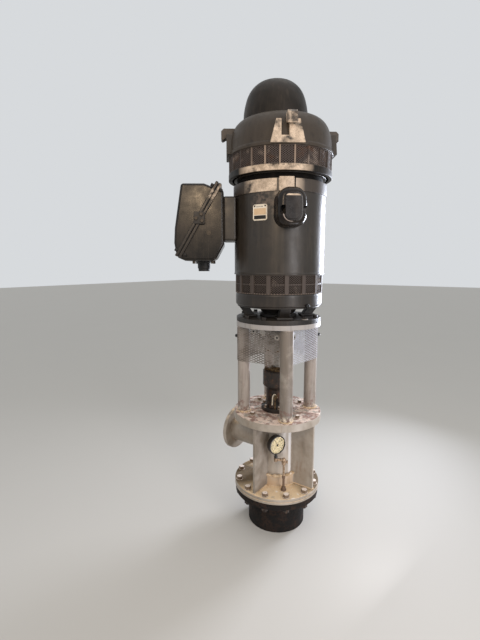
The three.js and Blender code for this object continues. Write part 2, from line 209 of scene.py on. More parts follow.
def line(start, end, step):
    start, end = Vector(start), Vector(end)
    count = max(2, round((end - start).length / step))
    return [start.lerp(end, i / count) for i in range(count + 1)]


def circle(radius, height, step, first=0.0, last=360.0):
    # points on an arc about Z, without the last one on a whole circle
    count = max(8, round(radius * math.radians(last - first) / step))
    whole = abs(last - first - 360) < 1e-6
    return [(*polar(radius, first + (last - first) * i / count), height)
            for i in range(count + (not whole))]


def weld(path, size, closed=False):
    # a fillet weld, with the ripples that each step of the electrode leaves
    ripple = lambda i: size * (0.86 + 0.14 * math.sin(i * 1.9) + 0.2 * noise(Vector(path[i]) * 0.09))
    return sweep(path, ripple, 7, closed)


def hexHead(acrossFlats, height):
    # bolt head or nut with its corners turned off at the top
    corner = acrossFlats / math.sqrt(3)
    return spun(lathe([(0, 0), (corner, 0), (corner, height * 0.82), (corner * 0.88, height),
                       (0, height)], 6), 30)


def thread(radius, low, high, pitch):
    # rings stand in for the helix, which looks the same at this size
    profile, height = [(0, low), (radius * 0.86, low)], low + pitch * 0.3
    while height < high - pitch:
        profile += [(radius, height), (radius * 0.86, height + pitch / 2)]
        height += pitch
    return lathe(profile + [(radius * 0.8, high), (0, high)], 16)


# washer and hole are shares of the width across flats and of the shank's radius; small, medium and
# large are the width across flats and the shank's radius of the common bolts
boltParts = Values(washer=0.62, hole=0.6, washerThick=3, washerSoft=0.6, headTall=13, nutTall=15,
                   pitch=2.5, small=(17, 5), medium=(19, 7), large=(24, 8))


def washer(acrossFlats, shank, low):
    look = boltParts
    return ring(acrossFlats * look.washer, shank * look.hole, low, low + look.washerThick,
                look.washerSoft, 28)


def boltHead(acrossFlats, shank, tall=boltParts.headTall):
    # a head on its washer, whose underside is at height 0
    head = shifted(hexHead(acrossFlats, tall), z=boltParts.washerThick)
    return together([washer(acrossFlats, shank, 0), head])


def nutSet(acrossFlats, shank, tail=9):
    # washer, nut and thread end, hanging below height 0
    look = boltParts
    low = -look.washerThick - look.nutTall
    nut = shifted(hexHead(acrossFlats, look.nutTall), z=low)
    return together([washer(acrossFlats, shank, -look.washerThick), nut,
                     thread(shank, low - tail, low + 2, look.pitch)])


def boltSet(thickness, acrossFlats, shank, tail):
    # a head at height 0, with its nut thickness mm below
    return together([boltHead(acrossFlats, shank), shifted(nutSet(acrossFlats, shank, tail), z=-thickness)])


def applied(obj):
    # turns the object's modifiers into its mesh
    graph = bpy.context.evaluated_depsgraph_get()
    mesh = bpy.data.meshes.new_from_object(obj.evaluated_get(graph), depsgraph=graph)
    obj.modifiers.clear()
    obj.data = mesh


def rawObject(name, shape):
    # an object from a shape, in metres, before it is smoothed or put on a body
    mesh = bpy.data.meshes.new(name)
    mesh.from_pydata([[value * mm for value in point] for point in shape[0]], [], shape[1])
    mesh.update()
    obj = bpy.data.objects.new(name, mesh)
    bpy.context.scene.collection.objects.link(obj)
    return obj


def makePiece(name, shape, material, replaces=(), body="frame", bevel=0.0, cut=None, sharp=38):
    # one visible piece: cut by another shape, bevelled, smoothed, and set on its body
    obj = rawObject(name, shape)
    if cut:
        cutter = rawObject(name + "_cutter", cut)
        obj.modifiers.new("cut", "BOOLEAN").object = cutter
        obj.modifiers["cut"].operation = "DIFFERENCE"
        applied(obj)
        bpy.data.objects.remove(cutter)
    if bevel:
        edge = obj.modifiers.new("edge", "BEVEL")
        edge.width = bevel * mm
        edge.segments = 3
        edge.limit_method = "ANGLE"
        edge.angle_limit = math.radians(30)
        applied(obj)
    obj.data.shade_smooth()
    obj.data.set_sharp_from_angle(angle=math.radians(sharp))
    even = obj.modifiers.new("even", "WEIGHTED_NORMAL")
    even.keep_sharp = True
    applied(obj)
    obj.data.materials.clear()
    obj.data.materials.append(material)
    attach(obj, body)
    if replaces:
        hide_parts(*replaces)
    return obj


# Materials

def linear(colour):
    # "#rrggbb" in sRGB to the linear values that the nodes take
    parts = [int(colour[i:i + 2], 16) / 255 for i in (1, 3, 5)]
    return tuple(p / 12.92 if p <= 0.04045 else ((p + 0.055) / 1.055) ** 2.4 for p in parts) + (1.0,)


def fill(tree, node, links):
    # gives each input that is named a value, a "#rrggbb" or another node's socket
    for key, value in links.items():
        if isinstance(value, bpy.types.NodeSocket):
            tree.links.new(value, node.inputs[key])
        else:
            node.inputs[key].default_value = linear(value) if isinstance(value, str) else value


def put(tree, kind, links=None, **settings):
    # adds a node with its links and settings
    made = tree.nodes.new("ShaderNode" + kind)
    for key, value in settings.items():
        setattr(made, key, value)
    fill(tree, made, links or {})
    return made


def newMaterial(name):
    # a material with its shader, and the coordinates that every pattern starts from
    material = bpy.data.materials.new(name)
    material.use_nodes = True
    tree = material.node_tree
    shader = tree.nodes["Principled BSDF"]
    place = put(tree, "TexCoord").outputs["Object"]
    return material, tree, shader, place


def blotches(tree, place, sizeMm, low, high, detail=4.0, roughness=0.6):
    # patches about sizeMm across; low and high set how much they cover and how soft they end
    field = put(tree, "TexNoise", {"Vector": place, "Scale": 1000 / sizeMm, "Detail": detail,
                                   "Roughness": roughness})
    return put(tree, "MapRange", {"Value": field.outputs[0], "From Min": low, "From Max": high}).outputs[0]


def streaks(tree, place, widthMm, lengthMm, low, high):
    # blotches drawn out downward, as water leaves them
    squeeze = put(tree, "Mapping", {"Vector": place, "Scale": (1, 1, widthMm / lengthMm)})
    return blotches(tree, squeeze.outputs[0], widthMm, low, high, 3.0, 0.55)


def between(tree, value, low, high):
    # a mask that is 0 at low and 1 at high, whichever of the two is larger
    return put(tree, "MapRange", {"Value": value, "From Min": low, "From Max": high}).outputs[0]


def ranged(tree, mask, low, high):
    # low where the mask is 0, high where it is 1
    return put(tree, "MapRange", {"Value": mask, "To Min": low, "To Max": high}).outputs[0]


def times(tree, first, second):
    # where two masks overlap, or one mask at a share of its strength
    return put(tree, "Math", {0: first, 1: second}, operation="MULTIPLY").outputs[0]


def coloured(tree, base, layers):
    # colours laid over base one after another, each where its mask is 1
    for mask, colour in layers:
        base = put(tree, "Mix", {0: mask, 6: base, 7: colour}, data_type="RGBA").outputs[2]
    return base


def relief(tree, shader, layers):
    # bumps from (height socket, depth in mm) pairs, coarse ones first
    normal = None
    for height, depth in layers:
        links = {"Height": height, "Distance": depth * mm, "Strength": 1.0}
        if normal:
            links["Normal"] = normal
        normal = put(tree, "Bump", links).outputs[0]
    tree.links.new(normal, shader.inputs["Normal"])


def facingUp(tree):
    # 1 on what lies flat and faces up, where dust and silt settle
    normal = put(tree, "NewGeometry").outputs["Normal"]
    return between(tree, put(tree, "SeparateXYZ", {0: normal}).outputs[2], 0.55, 0.95)


def heightOf(tree, place):
    # height above the ground, in metres
    return put(tree, "SeparateXYZ", {0: place}).outputs[2]


def turnedTo(tree, place, degrees, full, gone):
    # 1 on the side that faces this angle, or the opposite one, fading between full and gone degrees off it
    flat = put(tree, "VectorMath", {0: place, 1: (1, 1, 0)}, operation="MULTIPLY").outputs[0]
    unit = put(tree, "VectorMath", {0: flat}, operation="NORMALIZE").outputs[0]
    share = put(tree, "VectorMath", {0: unit, 1: (*polar(1, degrees), 0)},
                operation="DOT_PRODUCT").outputs["Value"]
    side = put(tree, "Math", {0: share}, operation="ABSOLUTE").outputs[0]
    return between(tree, side, math.cos(math.radians(gone)), math.cos(math.radians(full)))


def heightBand(tree, place, low, high, soft=3):
    # 1 between two heights in mm
    height = heightOf(tree, place)
    return times(tree, between(tree, height, (low - soft) * mm, low * mm),
                 between(tree, height, (high + soft) * mm, high * mm))


rustedSteelLook = Values(dark="#120d0a", rust="#2a1c14", scale="#0b0908", lime="#5f5142")


def rustedSteel():
    # Hot-rolled steel left bare in the wet: nearly black mill scale with brown rust and a dull, pitted skin
    look = rustedSteelLook
    material, tree, shader, place = newMaterial("rustedHotRolledSteel")
    rust = blotches(tree, place, 70, 0.47, 0.62)
    flakes = blotches(tree, place, 14, 0.5, 0.6, 6)
    lime = times(tree, blotches(tree, place, 45, 0.6, 0.72, 5), facingUp(tree))
    colour = coloured(tree, look.dark, [(rust, look.rust), (flakes, look.scale), (lime, look.lime)])
    fill(tree, shader, {"Base Color": colour, "Roughness": 0.88, "Specular IOR Level": 0.35})
    pits = blotches(tree, place, 4, 0.3, 0.7, 5)
    relief(tree, shader, [(flakes, 0.9), (pits, 0.5)])
    return material


rubberLook = Values(black="#12100e", dust="#2e2922")


def gasketRubber():
    # Cut sheet of nitrile rubber: flat black with pale dust in its grain
    material, tree, shader, place = newMaterial("nitrileRubberSheet")
    dust = blotches(tree, place, 20, 0.45, 0.7)
    colour = coloured(tree, rubberLook.black, [(dust, rubberLook.dust)])
    fill(tree, shader, {"Base Color": colour, "Roughness": 0.8})
    relief(tree, shader, [(blotches(tree, place, 3, 0.3, 0.7), 0.2)])
    return material


headLook = Values(paint="#998d7f", worn="#bdb4a9", grime="#6b6054", rust="#7c5840", silt="#e3c9a4",
                  wetRust="#80594a", lime="#f3ebe2", olive="#46361f", front=(-62, 38, 66), bright="#dedcda")


def headEnamel(name, silt, wet, grain=1.0, sides=0.0, gloss=0.5, paint=headLook.paint, bright=None,
               deposit=headLook.silt):
    # Brushed alkyd enamel on welded steel: satin warm grey, chalked, with rust runs and silt on its ledges.
    # sides above 0 darkens the ledges away from the front to olive. The highlight argument names the side
    # that gets a pale strip, a painted highlight standing in for light reflected there.
    look = headLook
    material, tree, shader, place = newMaterial(name)
    grime = streaks(tree, place, 34, 150, 0.5, 0.7)
    chalk = blotches(tree, place, 110, 0.42, 0.66)
    runs = times(tree, streaks(tree, place, 13, 120, 0.58, 0.7), blotches(tree, place, 150, 0.5, 0.62))
    spots = blotches(tree, place, 8, 0.71, 0.76, 5)
    up = facingUp(tree)
    siltMask = times(tree, up, blotches(tree, place, 60 * grain, 0.5 - silt, 0.62 - silt, 6))
    wetMask = times(tree, up, blotches(tree, place, 70 * grain, 0.64 - wet, 0.72 - wet, 6))
    limeMask = times(tree, up, blotches(tree, place, 28 * grain, 0.59, 0.66, 6))
    layers = [(times(tree, grime, 0.4), look.grime), (times(tree, chalk, 0.45), look.worn),
              (times(tree, runs, 0.4), look.rust), (times(tree, spots, 0.7), look.rust),
              (siltMask, deposit), (times(tree, wetMask, 0.8), look.wetRust),
              (times(tree, limeMask, 0.7), look.lime)]
    if sides > 0:
        front = turnedTo(tree, place, *look.front)
        away = ranged(tree, front, sides, 0.0)
        layers.append((times(tree, up, away), look.olive))
    # a pale strip on one side: painted highlight
    if bright:
        layers.append((times(tree, turnedTo(tree, place, *bright), 0.85), look.bright))
    colour = coloured(tree, paint, layers)
    fill(tree, shader, {"Base Color": colour, "Roughness": ranged(tree, siltMask, gloss, 0.85)})
    brush = streaks(tree, place, 3, 60, 0.2, 0.8)
    crust = times(tree, up, blotches(tree, place, 12, 0.35, 0.7, 6))
    relief(tree, shader, [(blotches(tree, place, 40, 0.3, 0.7, 2), 0.5), (crust, 1.6), (brush, 0.06)])
    return material


siltLook = Values(silt="#cfb695", tan="#a3845f", lime="#efe5d8")


def driedSilt():
    # Silt and lime that hard water leaves along the welds: matt cream, crumbly, tan where it is thin
    look = siltLook
    material, tree, shader, place = newMaterial("driedSiltCrust")
    tan = blotches(tree, place, 26, 0.5, 0.64, 5)
    lime = blotches(tree, place, 12, 0.56, 0.66, 5)
    colour = coloured(tree, look.silt, [(times(tree, tan, 0.8), look.tan), (lime, look.lime)])
    fill(tree, shader, {"Base Color": colour, "Roughness": 0.9})
    relief(tree, shader, [(blotches(tree, place, 7, 0.3, 0.7, 5), 1.0)])
    return material


columnLook = Values(worn="#b1a89c", grime="#5f554a", rust="#6f4434", footRust="#6b4234",
                    lime="#d9cbb8")


def columnEnamel(name, paint, footTop):
    # The same enamel on the pipe columns: worn to a light sheen, with rust and lime climbing from the foot
    look = columnLook
    material, tree, shader, place = newMaterial(name)
    height = heightOf(tree, place)
    low = between(tree, height, footTop * mm, (footTop - 75) * mm)
    edge = blotches(tree, place, 26, 0.35, 0.65, 5)
    foot = between(tree, put(tree, "Math", {0: low, 1: edge}, operation="ADD").outputs[0], 1.0, 1.4)
    foot = times(tree, foot, blotches(tree, place, 34, 0.46, 0.56, 4))
    lime = times(tree, between(tree, height, (footTop - 80) * mm, (footTop - 100) * mm),
                 blotches(tree, place, 20, 0.5, 0.6, 4))
    grime = streaks(tree, place, 20, 200, 0.5, 0.68)
    worn = blotches(tree, place, 70, 0.5, 0.7)
    runs = times(tree, streaks(tree, place, 9, 110, 0.6, 0.7), blotches(tree, place, 120, 0.52, 0.62))
    colour = coloured(tree, paint, [
        (times(tree, grime, 0.4), look.grime), (times(tree, worn, 0.45), look.worn),
        (times(tree, runs, 0.45), look.rust), (times(tree, foot, 0.6), look.footRust), (lime, look.lime)])
    fill(tree, shader, {"Base Color": colour, "Roughness": 0.44})
    relief(tree, shader, [(blotches(tree, place, 35, 0.3, 0.7, 2), 0.35),
                          (streaks(tree, place, 3, 50, 0.2, 0.8), 0.05)])
    return material


motorLook = Values(warm="#39312a", dust="#5a4f43", scuff="#1b1713", bare="#dcc6ae", primer="#8d7964",
                   rubbed="#5d5048", scrubbed="#7a695c", scrubFront=(-72, 9, 24), scrubLevel=(1912, 2000))


def motorEnamel(name, paint="#2b2620", roughness=0.36, dust=0.5, worn=0.0, level=(0, 1), front=None,
                scrubbed=False, specular=0.5):
    # Sprayed synthetic enamel on cast iron and sheet: dark brown-grey, semi-gloss, dusty on what faces up.
    # worn above 0 rubs it down to pale undercoat between the two heights of level, on the side of front
    # if that is given. On the hood ring, pads, tab and box flange this pale colour is also a painted
    # highlight for the sheen of light on the paint, and on the cover panel's top edge it is only that.
    look = motorLook
    material, tree, shader, place = newMaterial(name)
    warm = blotches(tree, place, 180, 0.4, 0.7, 2)
    scuffs = blotches(tree, place, 40, 0.56, 0.72, 6)
    run = streaks(tree, place, 20, 260, 0.5, 0.72)
    up = times(tree, facingUp(tree), dust)
    layers = [(times(tree, warm, 0.55), look.warm), (times(tree, scuffs, 0.5), look.scuff),
              (times(tree, run, 0.18), look.dust), (up, look.dust)]
    if worn > 0:
        # pale patches: rubbed paint, and on some parts a painted highlight for the sheen of light
        rubAndSheen = times(tree, heightBand(tree, place, *level),
                    blotches(tree, place, 70, 0.58 - worn, 0.72 - worn, 5))
        if front:
            rubAndSheen = times(tree, rubAndSheen, turnedTo(tree, place, *front))
        primer = blotches(tree, place, 34, 0.42, 0.66, 4)
        fine = blotches(tree, place, 5, 0.5, 0.68, 3)
        layers += [(rubAndSheen, look.bare), (times(tree, rubAndSheen, times(tree, primer, 0.6)), look.primer),
                   (times(tree, rubAndSheen, times(tree, fine, 0.45)), look.rubbed)]
    if scrubbed:
        scrub = times(tree, heightBand(tree, place, *look.scrubLevel, soft=25),
                      turnedTo(tree, place, *look.scrubFront))
        broken = blotches(tree, place, 26, 0.42, 0.6, 6)
        layers.append((times(tree, scrub, times(tree, broken, 0.6)), look.scrubbed))
    colour = coloured(tree, paint, layers)
    gloss = blotches(tree, place, 60, 0.35, 0.65, 4)
    rough = ranged(tree, gloss, roughness - 0.05, roughness + 0.09)
    fill(tree, shader, {"Base Color": colour, "Roughness": rough, "Specular IOR Level": specular})
    relief(tree, shader, [(blotches(tree, place, 90, 0.2, 0.8, 1), 0.5),
                          (blotches(tree, place, 2.5, 0.2, 0.8, 2), 0.03)])
    return material


grilleLook = Values(rust="#5b4233", dust="#807268", dark="#0b0908", soot="#2a231e", front=(-62, 17, 33))


def grilleSteel(name, paint, dust, rust, front=None):
    # Painted steel bars and mesh where air is drawn in: dust held on the strands, rust where the paint
    # broke. front is a paler colour laid on the bars that face the front, and on those opposite.
    look = grilleLook
    material, tree, shader, place = newMaterial(name)
    rusty = blotches(tree, place, 90, 0.62 - rust, 0.74 - rust, 6)
    dusty = blotches(tree, place, 60, 0.62 - dust, 0.76 - dust, 5)
    layers = [(rusty, look.rust), (dusty, look.dust)]
    if front:
        layers.append((turnedTo(tree, place, *look.front), front))
    colour = coloured(tree, paint, layers)
    fill(tree, shader, {"Base Color": colour, "Roughness": 0.62})
    relief(tree, shader, [(blotches(tree, place, 6, 0.3, 0.7, 4), 0.2)])
    return material


def shadowSteel():
    # Painted shade: near-black steel that gives almost nothing back, put where there is only shade: the
    # unlit inside behind the grilles, the recess under the hood ring and the gap beside the pad's tab
    material, tree, shader, place = newMaterial("paintedShadeSteel")
    colour = coloured(tree, grilleLook.dark, [(blotches(tree, place, 60, 0.5, 0.8), grilleLook.soot)])
    fill(tree, shader, {"Base Color": colour, "Roughness": 0.85, "Specular IOR Level": 0.2})
    return material


zincLook = Values(zinc="#e2e3ea", dull="#b4b3b8", stain="#857868", dark="#5a4f44")


def zincMesh(name, filmAndShade, stained):
    # Galvanised expanded steel: bright zinc with a cloudy spangle; the film share lays oil and dust over it
    # and also darkens it as painted shade, on the sheet that stays out of the light
    look = zincLook
    material, tree, shader, place = newMaterial(name)
    spangle = put(tree, "TexVoronoi", {"Vector": place, "Scale": 1000 / 18}).outputs["Color"]
    cloud = between(tree, put(tree, "SeparateXYZ", {0: spangle}).outputs[0], 0.0, 1.0)
    stain = blotches(tree, place, 70, 0.66 - stained, 0.8 - stained, 4)
    layers = [(times(tree, cloud, 0.5), look.dull), (filmAndShade, look.stain),
              (times(tree, stain, 0.6), look.dark)]
    colour = coloured(tree, look.zinc, layers)
    fill(tree, shader, {"Base Color": colour, "Metallic": 0.5 * (1 - filmAndShade), "Roughness": 0.45})
    return material


castLook = Values(iron="#332b26", rust="#553c2c", wet="#181411", lime="#8d7e6e")


def castIron():
    # Grey iron casting with packing water run over it: rough, brown and black, with pale lime
    look = castLook
    material, tree, shader, place = newMaterial("stainedGreyIron")
    rust = blotches(tree, place, 30, 0.52, 0.64, 5)
    wet = streaks(tree, place, 18, 80, 0.46, 0.6)
    lime = blotches(tree, place, 22, 0.66, 0.73, 5)
    colour = coloured(tree, look.iron, [(rust, look.rust), (wet, look.wet), (lime, look.lime)])
    fill(tree, shader, {"Base Color": colour, "Roughness": ranged(tree, wet, 0.75, 0.3)})
    relief(tree, shader, [(blotches(tree, place, 8, 0.25, 0.75, 5), 0.7)])
    return material


def brass(name, base, tarnished):
    # Machined and cast brass gone dull: bare metal only in places, between patches of dark tarnish
    material, tree, shader, place = newMaterial(name)
    tarnish = blotches(tree, place, 12, 0.45, 0.6, 5)
    colour = coloured(tree, base, [(tarnish, tarnished)])
    fill(tree, shader, {"Base Color": colour, "Metallic": 0.7, "Roughness": 0.45})
    relief(tree, shader, [(blotches(tree, place, 4, 0.3, 0.7), 0.12)])
    return material


def turnedSteel():
    # Turned carbon steel: bright metal crossed by fine tool rings, with a brown bloom
    material, tree, shader, place = newMaterial("turnedSteel")
    squeeze = put(tree, "Mapping", {"Vector": place, "Scale": (0.02, 0.02, 1)}).outputs[0]
    rings = blotches(tree, squeeze, 1.2, 0.2, 0.8, 1)
    bloom = blotches(tree, place, 35, 0.5, 0.68, 4)
    colour = coloured(tree, "#a3a19d", [(times(tree, bloom, 0.7), "#6a4f3b"),
                                        (times(tree, rings, 0.2), "#77746f")])
    fill(tree, shader, {"Base Color": colour, "Metallic": 1.0, "Roughness": 0.36})
    relief(tree, shader, [(rings, 0.05)])
    return material


def boltSteel(name, base, rust, metal=0.5, silt=None):
    # Zinc-plated fasteners: grey plate with patches of brown rust, and silt on top of some
    material, tree, shader, place = newMaterial(name)
    rusty = blotches(tree, place, 16, 0.64 - rust, 0.72 - rust, 5)
    layers = [(rusty, "#5c4637"), (blotches(tree, place, 7, 0.6, 0.7), "#3a2c22")]
    if silt:
        layers.append((times(tree, facingUp(tree), blotches(tree, place, 14, 0.24, 0.4, 4)), silt))
    colour = coloured(tree, base, layers)
    fill(tree, shader, {"Base Color": colour, "Metallic": metal, "Roughness": 0.55})
    relief(tree, shader, [(blotches(tree, place, 3, 0.3, 0.7), 0.15)])
    return material


def satinAluminium():
    # Anodised aluminium sheet: pale and satin, slightly yellowed by varnish
    material, tree, shader, place = newMaterial("varnishedAluminium")
    cloud = blotches(tree, place, 30, 0.4, 0.7, 4)
    colour = coloured(tree, "#ece0cd", [(times(tree, cloud, 0.5), "#d0bfa6")])
    fill(tree, shader, {"Base Color": colour, "Metallic": 0.15, "Roughness": 0.42})
    return material


def plainPaint(name, colour, roughness, grit):
    # Baked enamel on a small part: an even coat with a faint orange peel
    material, tree, shader, place = newMaterial(name)
    shade = blotches(tree, place, 15, 0.4, 0.7)
    mixed = coloured(tree, colour, [(times(tree, shade, 0.35), grit)])
    fill(tree, shader, {"Base Color": mixed, "Roughness": roughness})
    relief(tree, shader, [(blotches(tree, place, 2, 0.2, 0.8), 0.02)])
    return material


def gaugeGlass():
    # Float glass over the dial: clear, with only its reflection to see
    material, tree, shader, place = newMaterial("floatGlass")
    haze = blotches(tree, place, 12, 0.5, 0.8)
    fill(tree, shader, {"Base Color": (1, 1, 1, 1), "Transmission Weight": 1.0, "IOR": 1.15,
                        "Roughness": ranged(tree, haze, 0.02, 0.12)})
    return material


coats = SimpleNamespace(
    casing=rustedSteel(), rubber=gasketRubber(), silt=driedSilt(),
    head=headEnamel("chalkedAlkydEnamel", 0.1, 0.0),
    # the body pipe, with a pale strip on its right side as a painted highlight
    pipe=headEnamel("glossyAlkydEnamel", 0.1, 0.0, gloss=0.28, paint="#b0a598", bright=(-12, 4, 8)),
    # the left rib in a darker copy of the same enamel: painted shade
    dampRib=headEnamel("shadedRibEnamel", 0.1, 0.0, paint="#84796d"),
    base=headEnamel("siltedAlkydEnamel", 0.24, 0.0, sides=0.85),
    middle=headEnamel("rustyAlkydEnamel", 0.1, 0.155, grain=0.6, deposit="#dcc5b4"),
    column=columnEnamel("wornAlkydEnamel", "#9e938a", 850),
    # the front column in a darker copy of the same enamel: painted shade
    frontColumn=columnEnamel("shadedColumnEnamel", "#7c7268", 850),
    ring=columnEnamel("paleAlkydEnamel", "#a39e9b", 600),
    motor=motorEnamel("semiGlossEnamel"), band=motorEnamel("darkBandEnamel", "#211c18"),
    barrel=motorEnamel("scrubbedSemiGlossEnamel", scrubbed=True),
    collar=headEnamel("tanStainedEnamel", 0.3, 0.0, paint="#c4aa8c"),
    box=motorEnamel("glossyBoxEnamel", "#14100c", 0.24, 0.3, specular=0.33),
    # box flange: pale rubbed patches on its upper end, also a painted highlight on its lips
    boxFlange=motorEnamel("rubbedSheenFlangeEnamel", "#1b1612", 0.3, 0.4, 0.06, (1960, 2090), specular=0.4),
    cover=motorEnamel("glossyCoverEnamel", "#17120f", 0.22, 0.3, specular=0.32),
    # panel: a pale band along its top edge, a painted highlight
    panel=motorEnamel("paintedHighlightPanelEnamel", "#1a1513", 0.24, 0.4, 0.5, (1974, 1990), specular=0.32),
    hood=motorEnamel("dustySemiGlossEnamel", "#3d342a", 0.45, 0.3, specular=0.35),
    dome=motorEnamel("darkDomeEnamel", "#1c160f", 0.45, 0.2, specular=0.25),
    # near-black enamel for the parts under the motor: painted shade
    underside=motorEnamel("darkSemiGlossEnamel", "#151210", 0.5, 0.2),
    # hood ring: pale rubbed patches on the front side, also a painted highlight
    hoodRing=motorEnamel("rubbedSheenHoodEnamel", "#14110e", 0.45, 0.4, 0.24, (2110, 2143), (-64.5, 27, 43),
                         specular=0.22),
    lug=motorEnamel("rubbedLugEnamel", "#3a332b", 0.5, 0.4, 0.18, (2238, 2349), (-60, 30, 45)),
    hook=motorEnamel("rubbedHookEnamel", "#4a4037", 0.45, 0.4, 0.16, (2320, 2390), (-60, 30, 45)),
    # pads and tab: pale rubbed patches, also a painted highlight for the sheen on the paint
    pad=motorEnamel("rubbedSheenPadEnamel", "#3c332b", 0.45, 0.4, 0.26, (2012, 2077), (-67, 22, 38)),
    tab=motorEnamel("rubbedSheenTabEnamel", "#39312a", 0.45, 0.4, 0.4, (2000, 2100)),
    # edge: a pale colour for the bead on the cover's lip, a painted highlight
    edge=motorEnamel("paintedHighlightEdgeEnamel", "#968980", 0.3, 0.4, 0.0),
    upperGrille=grilleSteel("rustyMeshSteel", "#4d423d", 0.1, 0.06),
    lowerGrille=grilleSteel("dullMeshSteel", "#463c36", 0.04, 0.02),
    bars=grilleSteel("rubbedBarSteel", "#473d37", -0.02, 0.0),
    upperBars=grilleSteel("dustyBarSteel", "#3d332d", 0.1, 0.06, "#927f6f"),
    # near-black steel for the places in shade: painted shade
    soot=shadowSteel(), iron=castIron(), brass=brass("darkBronze", "#7c6648", "#3f3024"),
    fitting=brass("limedBrass", "#b8a088", "#8a725a"), steel=turnedSteel(),
    # the left guard sheet in a filmed, darker copy: dirt and painted shade
    zinc=zincMesh("galvanisedExpandedSteel", 0.0, 0.0), dullZinc=zincMesh("filmedShadedExpandedSteel", 0.8, 0.2),
    headBolts=boltSteel("siltedBoltSteel", "#75624f", 0.0, 0.2, "#f4e6da"),
    # the nuts under the casing flange, near-black
    nuts=boltSteel("darkNutSteel", "#2b221c", 0.1, 0.1),
    zincBolts=boltSteel("zincPlatedSteel", "#a9a29a", 0.02),
    darkBolts=boltSteel("sprayedBoltSteel", "#241f1b", -0.1, 0.2),
    clampBolts=boltSteel("brightBoltSteel", "#514940", -0.1, 0.7),
    pipeSteel=boltSteel("wornPipeSteel", "#6e5847", 0.02, 0.1),
    plate=satinAluminium(),
    field=plainPaint("creamPlateEnamel", "#d8b994", 0.45, "#b99f7c"),
    lever=plainPaint("creamLeverEnamel", "#dcd1bc", 0.5, "#b3a58e"),
    hub=plainPaint("blackEnamelledIron", "#0c0b0a", 0.55, "#171411"),
    knob=plainPaint("phenolicResin", "#0c0b0b", 0.35, "#1a1817"),
    gaugeCase=plainPaint("blackStoveEnamel", "#201d1a", 0.35, "#35302a"),
    dial=plainPaint("creamDialEnamel", "#dccba0", 0.5, "#c4b385"),
    ink=plainPaint("blackDialInk", "#15130f", 0.6, "#221f1a"),
    glass=gaugeGlass(),
)
print("materials made:", len(bpy.data.materials))


# Well casing: the pipe from the ground, its flange, gasket and the nuts under it

casingLook = Values(bolts=12, firstBolt=15, boltCircle=241, acrossFlats=34, shank=11, headHeight=18,
                    bead=5.5, pitDepth=0.002, pitSize=24)


def crusted(shape, top, outer, inner, size, depth):
    # lifts the flat top of a turned shape into a thin uneven crust of silt and scale
    points = []
    for x, y, z in shape[0]:
        reach = math.hypot(x, y)
        if abs(z - top) < 0.01 and inner < reach < outer:
            broad = noise(Vector((x / size, y / size, 7.3)))
            fine = noise(Vector((x * 4.6 / size, y * 4.6 / size, 2.1)))
            z += depth * max(0.0, broad + 0.5 * fine)
        points.append((x, y, z))
    return points, shape[1]


def flangeWithCrust(outer, low, high, inner, size, depth, groove=None):
    # a round plate with rings 4 mm apart on top for its crust; groove is the height of a seam in its edge
    count = round((outer - 4 - inner) / 4)
    tops = [(outer - 3 - (outer - 3 - inner) * i / count, high) for i in range(count + 1)]
    seam = []
    if groove:
        seam = [(outer, groove - 2), (outer - 4, groove - 1), (outer - 4, groove + 1), (outer, groove + 2)]
    rim = softened([(0, low), (outer, low), *seam, (outer, high), (outer - 6, high)], 1.8)[:-1]
    shape = lathe(rim + tops[1:] + [(0, high)], 200)
    return crusted(shape, high, outer - 5, inner + 1, size, depth)


def buildCasing():
    look, pipe, flange = casingLook, measured("well_casing"), measured("casing_flange")
    body = disc(pipe.radius, 0, pipe.top + 0.2, 1, 128)
    pit = lambda *point: 1 + look.pitDepth * noise(Vector(point) / look.pitSize)
    rough = [(x * pit(x, y, z), y * pit(x, y, z), z) for x, y, z in body[0]]
    makePiece("casing_pipe", (rough, body[1]), coats.casing, ["well_casing"])
    seam = weld(circle(pipe.radius + 1, flange.bottom - 4, 3), look.bead, True)
    makePiece("casing_weld", seam, coats.casing)
    plate = disc(flange.radius, flange.bottom, flange.top, 2.5, 160)
    makePiece("casing_plate", plate, coats.casing, ["casing_flange"])
    sheet = measured("flange_gasket")
    makePiece("gasket_sheet", disc(sheet.radius, flange.top, sheet.top + 0.2, 0.3, 128), coats.rubber,
              ["flange_gasket"])
    across, circleOf = look.acrossFlats, (look.bolts, look.firstBolt, look.boltCircle)
    head = boltHead(across, look.shank, look.headHeight)
    makePiece("base_bolts", shifted(around(head, *circleOf), z=measured("base_flange").top),
              coats.headBolts, sharp=30)
    makePiece("base_nuts", shifted(around(nutSet(across, look.shank), *circleOf), z=flange.bottom),
              coats.nuts, sharp=30)


# Discharge head: base flange, collar, body pipe, ribs, nozzle and middle flange

headParts = Values(crust=2.6, crustSize=34, middleCrust=2.2, beadSmall=3.2, beadBig=4.6, gap=0.3,
                   bore=77, wall=8, boltHoles=(8, 22.5, 120.65), boltHole=11, faceRadius=108,
                   faceHeight=1.6, ribs=Values(rib_right=0, rib_back=90, rib_left=-90), siltBead=13,
                   seam=254, hubSteps=170, middleClear=96, middleBolts=(4, -20, 190))


